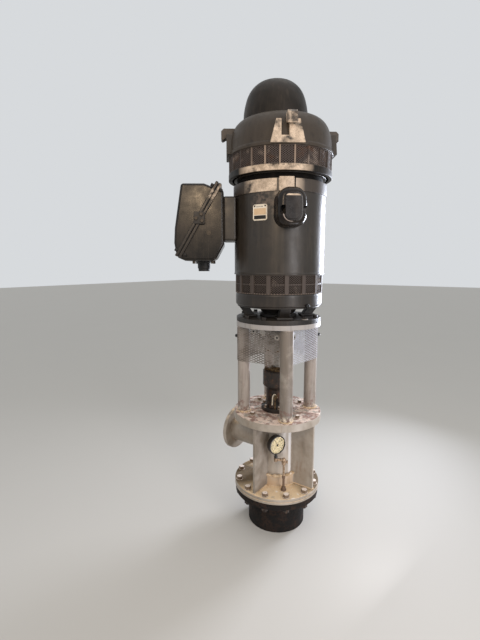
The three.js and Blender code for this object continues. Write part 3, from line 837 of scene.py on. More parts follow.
def buildBaseFlange():
    look, flange, collar = headParts, measured("base_flange"), measured("base_collar")
    shape = flangeWithCrust(flange.radius, flange.bottom, flange.top, collar.radius, look.crustSize,
                            look.crust, look.seam)
    makePiece("base_plate", shape, coats.base, ["base_flange"])
    inner = measured("body_pipe").radius + look.gap
    shape = ring(collar.radius, inner, collar.bottom, collar.top, 3, 128)
    makePiece("collar_ring", shape, coats.collar, ["base_collar"])
    makePiece("collar_weld", weld(circle(collar.radius + 1, collar.bottom + 2, 3), look.beadBig, True),
              coats.silt)

    # silt that dried on the collar's top edge, thick and thin
    route = circle(collar.radius - 5, collar.top, 3)
    lumps = [look.siltBead * min(1.0, max(0.35, 0.75 + 0.8 * noise(Vector(point) / 22))) for point in route]
    bead = sweep(route, lumps.__getitem__, 9, True)
    flat = [(x, y, collar.top + (z - collar.top) * 0.75) for x, y, z in bead[0]]
    makePiece("collar_silt", (flat, bead[1]), coats.silt)


def buildBody():
    look, pipe, nozzle = headParts, measured("body_pipe"), measured("discharge_nozzle")
    shell = lathe([(pipe.radius - look.wall, pipe.bottom), (pipe.radius, pipe.bottom),
                   (pipe.radius, pipe.top), (pipe.radius - look.wall, pipe.top)], 128, True)
    height = nozzle.middle.z
    bore = moved(disc(look.bore, 0, pipe.radius + 20, 0, 96), turned(-90, "Y"))
    makePiece("body_shell", shell, coats.pipe, ["body_pipe"], cut=shifted(bore, z=height))

    outer, reach = (nozzle.high.z - nozzle.low.z) / 2, -nozzle.low.x
    steps, rim = 128, []
    tubePoints = []
    for i in range(steps):
        y, z = polar(1, 360 / steps * i)
        root = math.sqrt((pipe.radius + look.gap) ** 2 - (outer * y) ** 2)
        mouth = math.sqrt((pipe.radius + look.gap) ** 2 - (look.bore * y) ** 2)
        tubePoints.append([(-root, outer * y, outer * z), (-reach + 3, outer * y, outer * z),
                           (-reach, (outer - 3) * y, (outer - 3) * z),
                           (-reach, look.bore * y, look.bore * z),
                           (-mouth, look.bore * y, look.bore * z)])
        rim.append((-root, (outer + 1) * y, (outer + 1) * z + height))
    tube = ([point for column in tubePoints for point in column], sidesOf(steps, 5, True))
    makePiece("nozzle_tube", shifted(tube, z=height), coats.head, ["discharge_nozzle"])
    beads = [weld(rim[::-1], look.beadBig, True)]
    flange = measured("discharge_flange")
    hub = [polar(outer + 1.5, 360 / look.hubSteps * i) for i in range(look.hubSteps)]
    beads.append(weld([(flange.high.x + 1, y, z + height) for y, z in hub], look.beadBig, True))
    makePiece("nozzle_welds", together(beads), coats.head)

    radius, back = (flange.high.y - flange.low.y) / 2, -flange.high.x
    front = -flange.low.x
    inner = outer + look.gap
    face = [(inner, back), (radius, back), (radius, front - look.faceHeight),
            (look.faceRadius, front - look.faceHeight), (look.faceRadius - 1, front), (inner, front)]
    holes = around(disc(look.boltHole, back - 5, front + 5, 0, 32), *look.boltHoles)
    lie = carried(0, 0, height) @ turned(-90, "Y")
    plate = moved(lathe(softened(face, 1.5, loop=True), 128, True), lie)
    makePiece("nozzle_flange", plate, coats.head, ["discharge_flange"], cut=moved(holes, lie))


def buildRibs():
    look, pipe, collar = headParts, measured("body_pipe"), measured("base_collar")
    beads, silted = [], []
    for name, angle in look.ribs.items():
        cad = measured(name)
        reach = cad.reach
        thick = min(cad.high.x - cad.low.x, cad.high.y - cad.low.y)
        low, high, step = cad.bottom, cad.top, collar.top + look.gap
        near, collarFace = pipe.radius + look.gap, collar.radius + look.gap
        side = [(collarFace, low), (reach, low), (reach, high), (near, high), (near, step),
                (collarFace, step)]
        # the left rib is painted darker than the others: painted shade
        finish = coats.dampRib if name == "rib_left" else coats.head
        makePiece(name + "_plate", spun(upright(side, thick), angle), finish, [name],
                  bevel=1.6)
        for hand in (-1, 1):
            y = hand * (thick / 2 + 1)
            runs = [line((near, y, step), (near, y, high), 3),
                    line((near, y, high - 1), (reach, y, high - 1), 3),
                    line((collarFace, y, low), (collarFace, y, step), 3)]
            beads += [spun(weld(run, look.beadSmall), angle) for run in runs]
            silted.append(spun(weld(line((collarFace, y, low + 2), (reach, y, low + 2), 3), look.beadBig),
                               angle))
        foot = line((reach + 1, -thick / 2, low + 2), (reach + 1, thick / 2, low + 2), 3)
        silted.append(spun(weld(foot, look.beadBig), angle))
    makePiece("rib_welds", together(beads), coats.head)
    makePiece("rib_silted_welds", together(silted), coats.silt)


def buildMiddleFlange():
    look, flange = headParts, measured("middle_flange")
    shape = flangeWithCrust(flange.radius, flange.bottom, flange.top, look.middleClear, look.crustSize,
                            look.middleCrust)
    makePiece("middle_plate", shape, coats.middle, ["middle_flange"])
    bolts = shifted(around(boltHead(24, 9), *look.middleBolts), z=flange.top)
    makePiece("middle_bolts", bolts, coats.headBolts, sharp=30)


# Columns that carry the motor ring, with their weld rings

columnParts = Values(names=["column_right", "column_back", "column_left", "column_front"], bead=4.5, silt=6)


def buildColumns():
    look = columnParts
    for name in look.names:
        post = measured(name)
        shape = shifted(disc(post.radius, post.bottom, post.top, 0.5, 64), post.middle.x, post.middle.y)
        # the front column is painted darker than the others: painted shade
        finish = coats.frontColumn if name == "column_front" else coats.column
        makePiece(name + "_post", shape, finish, [name])
        top = weld(circle(post.radius + 1, post.top - 2, 3), look.bead, True)
        makePiece(name + "_weld", shifted(top, post.middle.x, post.middle.y), coats.column)
        route = circle(post.radius + 1, post.bottom + 2, 3)
        middle = Vector((post.middle.x, post.middle.y, 0))
        lumps = [look.silt * min(1.3, max(0.6, 0.85 + noise((Vector(point) + middle) / 24)))
                 for point in route]
        foot = sweep(route, lumps.__getitem__, 8, True)
        makePiece(name + "_silted_weld", shifted(foot, post.middle.x, post.middle.y), coats.silt)


# Stuffing box, gland, shaft and coupling

stuffingParts = Values(foot=100, footHeight=24, neck=70, head=90, headBottom=888, bore=28.6, floor=900,
                       footBolts=(6, 10, 87), webs=(20, 140, 260), webThick=9, glandRim=55, glandNeck=41,
                       ears=(30, 210), earIn=48, earOut=82, earWidth=26, studCircle=68)


def buildStuffingBox():
    look, cad, gland = stuffingParts, measured("stuffing_box"), measured("packing_gland")
    side = [(0, cad.bottom), (look.foot, cad.bottom), (look.foot, cad.bottom + look.footHeight),
            (look.neck + 6, cad.bottom + look.footHeight + 6), (look.neck, cad.bottom + 50),
            (look.neck - 2, look.headBottom - 22), (look.neck + 10, look.headBottom - 4),
            (look.head, look.headBottom), (look.head, cad.top), (look.bore, cad.top),
            (look.bore, look.floor), (0, look.floor)]
    web = upright([(60, cad.bottom + 10), (96, cad.bottom + 26), (88, look.headBottom),
                   (60, look.headBottom)], look.webThick)
    webs = [spun(web, angle) for angle in look.webs]
    body = lathe(softened(side, 3), 80)
    makePiece("packing_box", together([body] + webs), coats.iron, ["stuffing_box"])
    bolts = shifted(around(boltHead(*boltParts.medium), *look.footBolts), z=cad.bottom + look.footHeight)
    makePiece("packing_bolts", bolts, coats.headBolts, sharp=30)

    rim = gland.bottom + 12
    follower = lathe(softened([(look.bore, gland.bottom), (look.glandRim, gland.bottom),
                               (look.glandRim, rim), (look.glandNeck, gland.top),
                               (look.bore, gland.top)], 1.5, loop=True), 64, True)
    ear = upright([(look.earIn, gland.bottom + 1), (look.earOut, gland.bottom + 1),
                   (look.earOut, gland.bottom + 11), (look.earIn, gland.bottom + 11)], look.earWidth)
    ears = [spun(ear, angle) for angle in look.ears]
    makePiece("gland_follower", together([follower] + ears), coats.brass, ["packing_gland"])
    stud = together([thread(6, gland.bottom - 20, gland.bottom + 42, 1.75),
                     shifted(hexHead(19, 11), z=gland.bottom + 12)])
    studs = together([spun(shifted(stud, look.studCircle), angle) for angle in look.ears])
    makePiece("gland_studs", studs, coats.headBolts, sharp=30)


# drain and lever are lines from the cock's centre
bleedParts = Values(angle=-64, reach=112, height=838, root=60, nipple=6.5, radius=12, half=16, stem=6,
                    drain=4.2, drainLine=[(12, 0, 0), (22, 0, -3), (27, 0, -14), (27, 0, -62)], lever=4,
                    leverLine=[(2, 0, 18), (10, -10, 20), (12, -16, 8), (12, -18, -30), (12, -19, -44)])


def buildBleedCock():
    # small brass cock on a nipple from the box's neck, with its lever hanging
    look = bleedParts
    reach, height, radius, half = look.reach, look.height, look.radius, look.half
    nipple = sweep(line((look.root, 0, height), (reach - radius, 0, height), 4), look.nipple, 14)
    side = [(0, -half), (radius - 3, -half), (radius, -half / 2), (radius, half / 2), (radius - 3, half),
            (0, half)]
    body = moved(lathe(softened(side, 2), 24), carried(reach, 0, height) @ turned(90, "Y"))
    stem = shifted(disc(look.stem, height - 2, height + 20, 1, 18), reach)
    drain, lever = (sweep([(reach + x, y, height + z) for x, y, z in route], size, sides)
                    for route, size, sides in ((look.drainLine, look.drain, 12),
                                               (look.leverLine, look.lever, 10)))
    cock = spun(together([nipple, body, stem, drain]), look.angle)
    makePiece("bleed_cock", cock, coats.brass)
    makePiece("bleed_lever", spun(lever, look.angle), coats.lever)


couplingParts = Values(hub=46, flangeHalf=34, bolts=6, bolt=(19, 6, 3), boltCircle=61, bore=28.3,
                       joint=0.6)


def buildShaft():
    shaft, cad, look = measured("drive_shaft"), measured("shaft_coupling"), couplingParts
    makePiece("shaft_bar", disc(shaft.radius, shaft.bottom, shaft.top, 1.5, 72), coats.steel,
              ["drive_shaft"], "rotor")
    halves = []
    middle = cad.middle.z
    for low, high, far in ((cad.bottom, middle - look.joint, middle - look.flangeHalf),
                           (middle + look.joint, cad.top, middle + look.flangeHalf)):
        side = [(look.bore, low), (look.hub, low), (look.hub, far), (cad.radius, far), (cad.radius, high),
                (look.bore, high)]
        if low > middle:
            side = [(look.bore, low), (cad.radius, low), (cad.radius, far), (look.hub, far),
                    (look.hub, high), (look.bore, high)]
        halves.append(lathe(softened(side, 2, loop=True), 72, True))
    makePiece("coupling_halves", together(halves), coats.steel, ["shaft_coupling"], "rotor")
    through = boltSet(2 * look.flangeHalf, *look.bolt)
    bolts = shifted(around(through, look.bolts, 0, look.boltCircle), z=middle + look.flangeHalf)
    makePiece("coupling_bolts", bolts, coats.headBolts, [], "rotor", sharp=30)


# Guard: two sheets of expanded metal, each bent round one column and tied to its neighbours

guardParts = Values(lean=7, run=259.4, cellWide=31, cellTall=14.5, strand=5.0, thick=1.8, tilt=0.45,
                    wire=1.8, washers=((0.035, 0.82), (0.71, 0.94), (0.965, 0.82)), boltAt=(0.47, 0.74),
                    tabAt=(0.81, 0.93), tab=32, washer=(15, 6), stud=5.5, nut=(17, 11))


def expanded(wide, tall, cellWide, cellTall, strand, thick, tilt, toSpace, pieces=1):
    # expanded metal: strands between the knots of a diamond pattern, laid in space by
    # toSpace(along, up, out); pieces is how many lengths each strand is made of, to follow a bend
    columns, rows = 2 * round(wide / cellWide), 2 * round(tall / cellTall)
    stepAlong, stepUp = wide / columns, tall / rows
    points, faces, strandFaces = [], [], sidesOf(pieces + 1, 4) + endsOf(pieces + 1, 4)
    for row in range(rows):
        for column in range(columns):
            rising = (row + column) % 2 == 0
            start = Vector(((column if rising else column + 1) * stepAlong, row * stepUp))
            end = Vector(((column + 1 if rising else column) * stepAlong, (row + 1) * stepUp))
            run = (end - start).normalized()
            side = Vector((-run.y, run.x)) * strand / 2
            if side.y < 0:
                side = -side
            start, end = start - run * strand * 0.3, end + run * strand * 0.3
            first = len(points)
            for k in range(pieces + 1):
                here = start.lerp(end, k / pieces)
                for hand, face in ((-1, -1), (1, -1), (1, 1), (-1, 1)):
                    spot = here + side * hand
                    out = face * thick / 2 + hand * tilt * strand / 2
                    points.append(tuple(toSpace(spot.x, min(max(spot.y, 0), tall), out)))
            faces += [[first + index for index in face] for face in strandFaces]
    return points, faces


def buildGuard():
    look, post = guardParts, measured("column_right")
    cad = measured("guard_right")
    centre, bend = post.middle.x, post.radius + 1.8
    lean = math.radians(look.lean)
    arc = bend * (math.pi / 2 + 2 * lean)
    whole = 2 * look.run + arc
    tall = cad.top - cad.bottom

    def place(along, up, out):
        # straight, round the column, and straight again
        reach = bend + out
        if along < look.run:
            back = look.run - along
            x = centre + reach * math.cos(lean) - back * math.sin(lean)
            y = centre - reach * math.sin(lean) - back * math.cos(lean)
        elif along < look.run + arc:
            angle = -lean + (along - look.run) / bend
            x, y = centre + reach * math.cos(angle), centre + reach * math.sin(angle)
        else:
            ahead = along - look.run - arc
            y = centre + reach * math.cos(lean) - ahead * math.sin(lean)
            x = centre - reach * math.sin(lean) - ahead * math.cos(lean)
        return x, y, cad.bottom + up

    def seat(share, up, turn):
        # a frame on the sheet, Z outward
        spot = Vector(place(whole * share, tall * up, 3))
        out = (spot - Vector(place(whole * share, tall * up, 0))).normalized()
        face = out.to_track_quat("Z", "Y").to_matrix().to_4x4()
        return turned(turn) @ Matrix.Translation(spot) @ face

    sheet = expanded(whole, tall, look.cellWide, look.cellTall, look.strand, look.thick, look.tilt, place)
    edges = [sweep([place(along, tall * i / 4, 0) for i in range(5)], look.wire, 6)
             for along in (look.wire, whole - look.wire)]
    sheet = together([sheet] + edges)
    makePiece("guard_right_mesh", sheet, coats.zinc, ["guard_right"], sharp=30)
    # the left sheet gets the darker zinc: dirt and painted shade
    makePiece("guard_left_mesh", spun(sheet, 180), coats.dullZinc, ["guard_left"], sharp=30)

    washers, bolts = [], []
    for turn in (0, 180):
        for share, up in look.washers:
            washers.append(moved(ring(*look.washer, -1, 1, 0.4, 32), seat(share, up, turn)))
            bolts.append(moved(disc(look.stud, -1, 3, 1, 12), seat(share, up, turn)))
        bolts.append(moved(hexHead(*look.nut), seat(*look.boltAt, turn)))
        half = look.tab / 2
        tab = spun(brick((-half, -half, -1), (half, half, 0.6)), 45)
        washers.append(moved(tab, seat(*look.tabAt, turn)))
    makePiece("guard_washers", together(washers), coats.zincBolts, sharp=30)
    makePiece("guard_bolts", together(bolts), coats.knob, sharp=30)


# Motor ring, motor flange and the open frame under the motor

motorBase = Values(ringBore=150, flangeBore=60, boltCircle=231, boltSides=(-30, 30), legTurn=41,
                   legWidth=60, footPad=88, padThick=13, footIn=140, footOut=196, headIn=190,
                   headOut=247, plate=8, housingFoot=112, housingHead=130, bore=28.6,
                   shaftTop=1360.3, washer=(19, 8), lightWashers=(-19, 161))


def buildMotorBase():
    look, cad, flange = motorBase, measured("motor_ring"), measured("motor_flange")
    makePiece("motor_ring_plate", ring(cad.radius, look.ringBore, cad.bottom, cad.top, 2, 160), coats.ring,
              ["motor_ring"])
    # the flange under the motor in near-black enamel: painted shade
    makePiece("motor_flange_plate", ring(flange.radius, look.flangeBore, flange.bottom, flange.top, 3, 160),
              coats.underside, ["motor_flange"])
    angles = [look.legTurn + 90 * i + side for i in range(4) for side in look.boltSides]
    bolts = [spun(shifted(boltHead(*boltParts.large), look.boltCircle, 0, flange.top), angle)
             for angle in angles]
    makePiece("motor_bolts", together(bolts), coats.darkBolts, sharp=30)
    # bright zinc washers under only the two bolts where light falls: painted light
    washers = [spun(shifted(ring(*look.washer, 0, 4, 1, 28), look.boltCircle, 0, flange.top), angle)
               for angle in look.lightWashers]
    makePiece("motor_washers", together(washers), coats.zincBolts, sharp=30)

    frameBox = measured("motor_frame")
    foot, head = frameBox.bottom, frameBox.top
    housing = lathe(softened([(look.bore, foot), (look.housingFoot, foot), (look.housingFoot, foot + 16),
                              (look.housingFoot - 12, foot + 22), (look.housingHead - 16, head - 20),
                              (look.housingHead, head - 8), (look.housingHead, head), (0, head),
                              (0, look.shaftTop), (look.bore, look.shaftTop)], 2.5, loop=False)
                    + [(look.bore, foot)], 96)
    plate = ring(look.headOut, look.housingHead - 4, head - look.plate, head, 2, 128)
    legs = []
    side = [(look.footIn, foot), (look.footOut, foot), (look.headOut, head), (look.headIn, head)]
    for i in range(4):
        angle = look.legTurn + 90 * i
        legs.append(spun(upright(side, look.legWidth), angle))
        pad = brick((look.footIn - 8, -look.footPad / 2, foot),
                    (look.footOut + 22, look.footPad / 2, foot + look.padThick))
        legs.append(spun(pad, angle))
    # housing, legs and plate under the motor in near-black enamel: painted shade
    makePiece("motor_housing", housing, coats.underside, ["motor_frame"])
    makePiece("motor_legs", together(legs), coats.underside, bevel=3)
    makePiece("motor_bottom_plate", plate, coats.underside)


# Motor: band, lower grille, barrel, pads

grilleParts = Values(lowBars=16, lowBarWidth=23, lowFirst=41, lowCore=240, lowMesh=251, lowRadius=258,
                     lowBand=1520, lowRim=6, highBars=24, highBarWidth=8, highFirst=-59, highMesh=291,
                     highRadius=296.5, highBore=276, highCore=285, highRim=4, cellWide=14.5, cellTall=11.5,
                     strand=3.1, thick=1.1, tilt=0.35, rivets=96, knobAngle=-22, knobHeight=1401,
                     knob=[(0, -6), (6, -6), (7, 0), (11, 2), (12.5, 9), (11, 17), (0, 19)])


def meshRing(radius, low, high):
    look = grilleParts

    def place(along, up, out):
        return (*polar(radius + out, math.degrees(along / radius)), low + up)
    return expanded(2 * math.pi * radius, high - low, look.cellWide, look.cellTall, look.strand, look.thick,
                    look.tilt, place)


def buildLowerMotor():
    look, band, grille = grilleParts, measured("lower_band"), measured("lower_grille")
    side = [(0, band.bottom), (band.radius - 7, band.bottom), (band.radius, band.bottom + 7),
            (band.radius, band.top - 8), (band.radius - 3, band.top), (0, band.top)]
    makePiece("band_ring", lathe(softened(side, 2.5), 160), coats.band, ["lower_band"])
    faceOut = turned(90, "Y")
    knob = moved(lathe(softened(look.knob, 2), 28), faceOut)
    makePiece("band_knob", spun(shifted(knob, band.radius, 0, look.knobHeight), look.knobAngle), coats.knob)

    low, high = grille.bottom, grille.top
    # the inside behind the mesh as a near-black drum: painted shade
    makePiece("lower_drum", disc(look.lowCore, low, high, 0.5, 96), coats.soot,
              ["lower_grille"])
    makePiece("lower_mesh", meshRing(look.lowMesh, low + 2, high - 2), coats.lowerGrille,
              sharp=30)
    rims = [ring(look.lowRadius - 1, look.lowCore - 2, low, low + look.lowRim, 1.2, 160),
            ring(look.lowRadius - 1, look.lowCore - 2, high - look.lowRim, high, 1.2, 160),
            ring(look.lowRadius - 2, look.lowMesh - 1, look.lowBand - 3.5, look.lowBand + 3.5, 1.2, 160)]
    makePiece("lower_rims", together(rims), coats.bars)
    half = look.lowBarWidth / 2
    bar = brick((look.lowMesh - 4, -half, low), (look.lowRadius, half, high))
    makePiece("lower_bars", around(bar, look.lowBars, look.lowFirst), coats.bars, bevel=1.2)
    rivet = moved(lathe([(0, 0), (2.6, 0), (2.2, 1.2), (1.2, 2.0), (0, 2.2)], 10), faceOut)
    rivets = around(rivet, look.rivets, 0, look.lowRadius - 1.2)
    makePiece("lower_rivets", shifted(rivets, z=low + look.lowRim / 2), coats.headBolts)


padParts = Values(slot=11, turn=-61, lip=2.0, barrel=264, skirtHeight=10, necking=246,
                  neckingBottom=2077, neckingTop=2105,
                  names=["barrel_pad_right", "barrel_pad_back", "barrel_pad_left", "barrel_pad_front"])


def curvedBlock(inner, outer, low, high, first, last, soft=2.0, step=2.0):
    # a curved plate whose outer edges are rounded, built as rings so that it shades cleanly
    section = softened([(inner, low), (outer, low), (outer, high), (inner, high)], soft, 3, True)
    count = max(2, round((last - first) / step))
    points, rings = [], (count + 1, len(section))
    for i in range(count + 1):
        angle = first + (last - first) * i / count
        points += [(*polar(radius, angle), height) for radius, height in section]
    return points, [face[::-1] for face in sidesOf(*rings) + endsOf(*rings)]


def buildBarrel():
    cad, look = measured("motor_barrel"), padParts
    radius, skirt, shrunk = look.barrel, cad.radius, look.necking
    low, high, knee = look.neckingBottom, look.neckingTop, cad.bottom + look.skirtHeight
    side = [(0, cad.bottom), (skirt, cad.bottom), (skirt, knee - 3), (radius, knee), (radius, low),
            (shrunk, low), (shrunk, high), (radius, high), (radius, cad.top), (0, cad.top)]
    makePiece("barrel_shell", lathe(softened(side, 1.6), 200), coats.barrel,
              ["motor_barrel"])
    # the recess under the hood ring painted near-black: painted shade
    makePiece("barrel_recess", ring(shrunk + 1, shrunk - 2, low + 0.5, high - 0.5, 0.3, 160), coats.soot)
    for i, name in enumerate(look.names):
        pad = measured(name)
        outer = pad.reach
        half = math.degrees(look.slot / outer / 2)
        first = look.turn + 90 * i
        shape = curvedBlock(radius - 4, outer, pad.bottom, pad.top, first + half, first + 90 - half,
                            look.lip)
        makePiece(name + "_plate", shape, coats.pad, [name])
    buildCoverStrip()


stripParts = Values(angle=-51, spread=16.5, low=2011, high=2082, proud=1.4, gapAngle=-41.6, gapSpread=1.3)


def buildCoverStrip():
    # a loose tab on the pad above the bearing cover, rubbed bright and partly a painted highlight, and
    # beside it a near-black strip that is a painted shadow gap
    look, pad = stripParts, measured("barrel_pad_front")
    outer = pad.reach
    for name, angle, spread, finish in (("pad_tab", look.angle, look.spread, coats.tab),
                                        ("pad_shadow_gap", look.gapAngle, look.gapSpread, coats.soot)):
        shape = curvedBlock(outer - 2, outer + look.proud, look.low, look.high, angle - spread / 2,
                            angle + spread / 2, 0.8)
        makePiece(name, shape, finish)


# Hood ring, upper grille, hood and dome

hoodParts = Values(ringBore=276, lipRadius=301, lipHeight=15, flat=150, top=2424,
                   side=[(293, 2256), (291.5, 2300), (286, 2333), (276.5, 2362), (264, 2386), (249, 2404),
                         (232, 2415), (210, 2421)],
                   domeSide=[(184, 0), (182, 39), (179, 65), (173, 95), (163, 129), (147, 161),
                             (124, 187), (94, 207), (50, 221)])


def curved(points, steps=4):
    # a smooth line through the points
    line = []
    for i in range(len(points) - 1):
        a, b = Vector(points[max(i - 1, 0)]), Vector(points[i])
        c, d = Vector(points[i + 1]), Vector(points[min(i + 2, len(points) - 1)])
        for k in range(steps):
            t = k / steps
            line.append(tuple(0.5 * (2 * b + (c - a) * t + (2 * a - 5 * b + 4 * c - d) * t * t
                                     + (3 * b - a - 3 * c + d) * t ** 3)))
    return line + [tuple(points[-1])]


def buildHood():
    look, grille = hoodParts, grilleParts
    cad, ringCad, mesh = measured("hood"), measured("hood_ring"), measured("hood_grille")
    makePiece("hood_bottom_ring", ring(ringCad.radius, look.ringBore, ringCad.bottom, ringCad.top, 3, 200),
              coats.hoodRing, ["hood_ring"])

    low, high = mesh.bottom, mesh.top
    # the inside behind the mesh as a near-black drum: painted shade
    makePiece("upper_drum", ring(grille.highCore, grille.highBore, low, high, 0.5, 128), coats.soot,
              ["hood_grille"])
    makePiece("upper_mesh", meshRing(grille.highMesh, low + 2, high - 2), coats.upperGrille,
              sharp=30)
    rims = [ring(grille.highRadius - 1, grille.highCore - 2, low, low + grille.highRim, 1, 200),
            ring(grille.highRadius - 1, grille.highCore - 2, high - grille.highRim, high, 1, 200)]
    makePiece("upper_rims", together(rims), coats.bars)
    half = grille.highBarWidth / 2
    bar = brick((grille.highMesh - 4, -half, low), (grille.highRadius, half, high))
    makePiece("upper_bars", around(bar, grille.highBars, grille.highFirst), coats.upperBars,
              bevel=1)

    foot = cad.bottom
    lip = softened([(0, foot), (look.lipRadius, foot), (look.lipRadius, foot + look.lipHeight),
                    (look.side[0][0] + 1, look.side[0][1]), look.side[1]], 3)[:-1]
    side = curved(look.side[1:] + [(look.flat, look.top)], 5)
    makePiece("hood_shell", lathe(lip + side + [(0, look.top)], 200), coats.hood, ["hood"])

    dome = measured("hood_dome")
    outline = [(radius, dome.bottom + height) for radius, height in look.domeSide] + [(0, dome.top)]
    edge = dome.radius + 3
    rimLine = softened([(0, dome.bottom), (edge, dome.bottom), (edge, dome.bottom + 5),
                        (outline[0][0], dome.bottom + 7)], 1.5)
    shell = lathe(rimLine + curved(outline, 5)[2:], 160)
    makePiece("dome_shell", shifted(shell, dome.middle.x, dome.middle.y), coats.dome,
              ["hood_dome"])


lugParts = Values(bottom=2236, top=2350, foot=180, head=122, root=200, face=309, hookWidth=50,
                  hookShift=18, hookBottom=2322, hookTop=2386, hookReach=338, throat=40,
                  throatRoot=270, throatShift=-14, throatBottom=2272, turn=38.5,
                  names=["lifting_lug_right", "lifting_lug_back", "lifting_lug_left",
                         "lifting_lug_front"])


def buildLugs():
    look = lugParts
    outline = [(-look.foot / 2, look.bottom), (look.foot / 2, look.bottom), (look.head / 2, look.top),
               (-look.head / 2, look.top)]
    stand = turned(90) @ turned(90, "X")
    boss = moved(prism(outline, look.root, look.face), stand)
    shift, half = look.throatShift, look.throat / 2
    throat = brick((look.throatRoot, shift - half, look.throatBottom),
                   (look.hookReach, shift + half, look.top + 5))
    root, low, high, reach = look.root, look.hookBottom, look.hookTop, look.hookReach
    hookSide = [(root, low + 20), (look.face, low + 12), (reach - 8, low), (reach, low + 8),
                (reach, high - 14), (reach - 14, high), (root, high)]
    hook = shifted(upright(hookSide, look.hookWidth), y=look.hookShift)
    for i, name in enumerate(look.names):
        angle = look.turn + 90 * i
        makePiece(name + "_boss", spun(boss, angle), coats.lug, [name], bevel=2.5,
                  cut=spun(throat, angle))
        makePiece(name + "_hook", spun(hook, angle), coats.hook, bevel=3)


# Terminal box in two halves, its neck to the barrel and the conduit hub under it

boxParts = Values(turn=218, width=300, round=15, flange=18, joint=1.5, lip=14, overhang=8, recess=5,
                  back=325, foot=1652, splitLow=(579, 1680), splitHigh=(353, 2065),
                  side=[(543, 1652), (582, 1669), (595, 1700), (603, 1750), (598, 1830), (559, 2071),
                        (432, 2071), (388, 2054), (325, 2036), (325, 1742), (368, 1664), (388, 1652)],
                  neckRoot=255, neckBottom=1765, neckTop=2010, neckWidth=210, boltShares=(0.05, 0.95),
                  lump=(60, 66, 9), lumpShare=0.53, lumpBolts=((-16, 17), (17, 3), (-12, -18)),
                  plug=(409, 1805), plugRadius=13, plugHead=8, under=(392, 496), underSide=118)


def halfBox(name, keepOuter):
    # one half of the rounded housing, split by the plane of the flange
    look = boxParts
    obj = rawObject(name, upright(look.side, look.width))
    edge = obj.modifiers.new("round", "BEVEL")
    edge.width = look.round * mm
    edge.segments = 6
    edge.limit_method = "ANGLE"
    edge.angle_limit = math.radians(50)
    applied(obj)
    low, high = Vector(look.splitLow), Vector(look.splitHigh)
    along = (high - low).normalized()
    out = Vector((along.y, -along.x))
    half = bmesh.new()
    half.from_mesh(obj.data)
    geometry = half.verts[:] + half.edges[:] + half.faces[:]
    cutAt = Vector((low.x, 0, low.y)) * mm
    result = bmesh.ops.bisect_plane(half, geom=geometry, plane_co=cutAt, plane_no=Vector((out.x, 0, out.y)),
                                    clear_inner=keepOuter, clear_outer=not keepOuter)
    edges = [item for item in result["geom_cut"] if isinstance(item, bmesh.types.BMEdge)]
    bmesh.ops.contextual_create(half, geom=edges)
    bmesh.ops.recalc_face_normals(half, faces=half.faces[:])
    points = [tuple(vert.co / mm) for vert in half.verts]
    half.verts.index_update()
    faces = [[vert.index for vert in face.verts] for face in half.faces]
    half.free()
    bpy.data.objects.remove(obj)
    return points, faces


def buildTerminalBox():
    look = boxParts
    low, high = Vector(look.splitLow), Vector(look.splitHigh)
    length = (high - low).length
    along = (high - low).normalized()
    out = Vector((along.y, -along.x))

    def spot(run, offset):
        return tuple(low + along * run + out * offset)

    def flangePlate(near, far, past, lip):
        ends = [spot(-past, near), spot(length + past, near), spot(length + past, far), spot(-past, far)]
        return upright(ends[::-1], look.width + 2 * lip)

    for name, keepOuter, near, far in (("terminal_box_cover", True, look.joint, look.flange),
                                       ("terminal_box_base", False, -look.flange, -look.joint)):
        half = spun(halfBox(name + "_half", keepOuter), look.turn)
        makePiece(name + "_shell", half, coats.box, [name])
        plate = flangePlate(near, far, look.overhang, look.lip)
        makePiece(name + "_flange", spun(plate, look.turn), coats.boxFlange, bevel=4)
    gasket = flangePlate(-look.joint, look.joint, look.overhang - look.recess, look.lip - look.recess)
    makePiece("terminal_box_gasket", spun(gasket, look.turn), coats.rubber)

    # flange bolts near both ends of the long sides, and the clamp block halfway up
    bolts, blocks, clamps = [], [], []
    face = Matrix.Rotation(math.atan2(out.x, out.y), 4, "Y")
    wide, tall, thick = look.lump
    for hand in (-1, 1):
        for share in look.boltShares:
            x, z = spot(length * share, look.flange)
            seat = carried(x, hand * (look.width / 2 + 5), z) @ face
            bolts.append(moved(boltSet(2 * look.flange, *boltParts.small, 4), seat))
        x, z = spot(length * look.lumpShare, 0)
        wall = hand * (look.width / 2 + look.lip)
        sideways = carried(x, wall, z) @ turned(-90 * hand, "X")
        block = prism(roundedRect(wide, -tall / 2, tall / 2, 9, 0, 5), -6, thick)
        blocks.append(moved(block, sideways))
        for dx, dy in look.lumpBolts:
            clamps.append(moved(shifted(boltHead(*boltParts.small, 9), dx, dy, thick), sideways))
    makePiece("terminal_box_clamps", spun(together(blocks), look.turn), coats.underside,
              bevel=2.5)
    makePiece("terminal_box_bolts", spun(together(bolts), look.turn), coats.darkBolts,
              sharp=30)
    makePiece("terminal_clamp_bolts", spun(together(clamps), look.turn), coats.clampBolts,
              sharp=30)

    side = look.neckWidth / 2
    neck = brick((look.neckRoot, -side, look.neckBottom), (look.back + 4, side, look.neckTop))
    makePiece("terminal_neck", spun(neck, look.turn), coats.motor, ["terminal_box_neck"],
              bevel=12)
    makePiece("terminal_plugs", spun(boxPlugs(), look.turn), coats.clampBolts, sharp=30)
    buildHub()


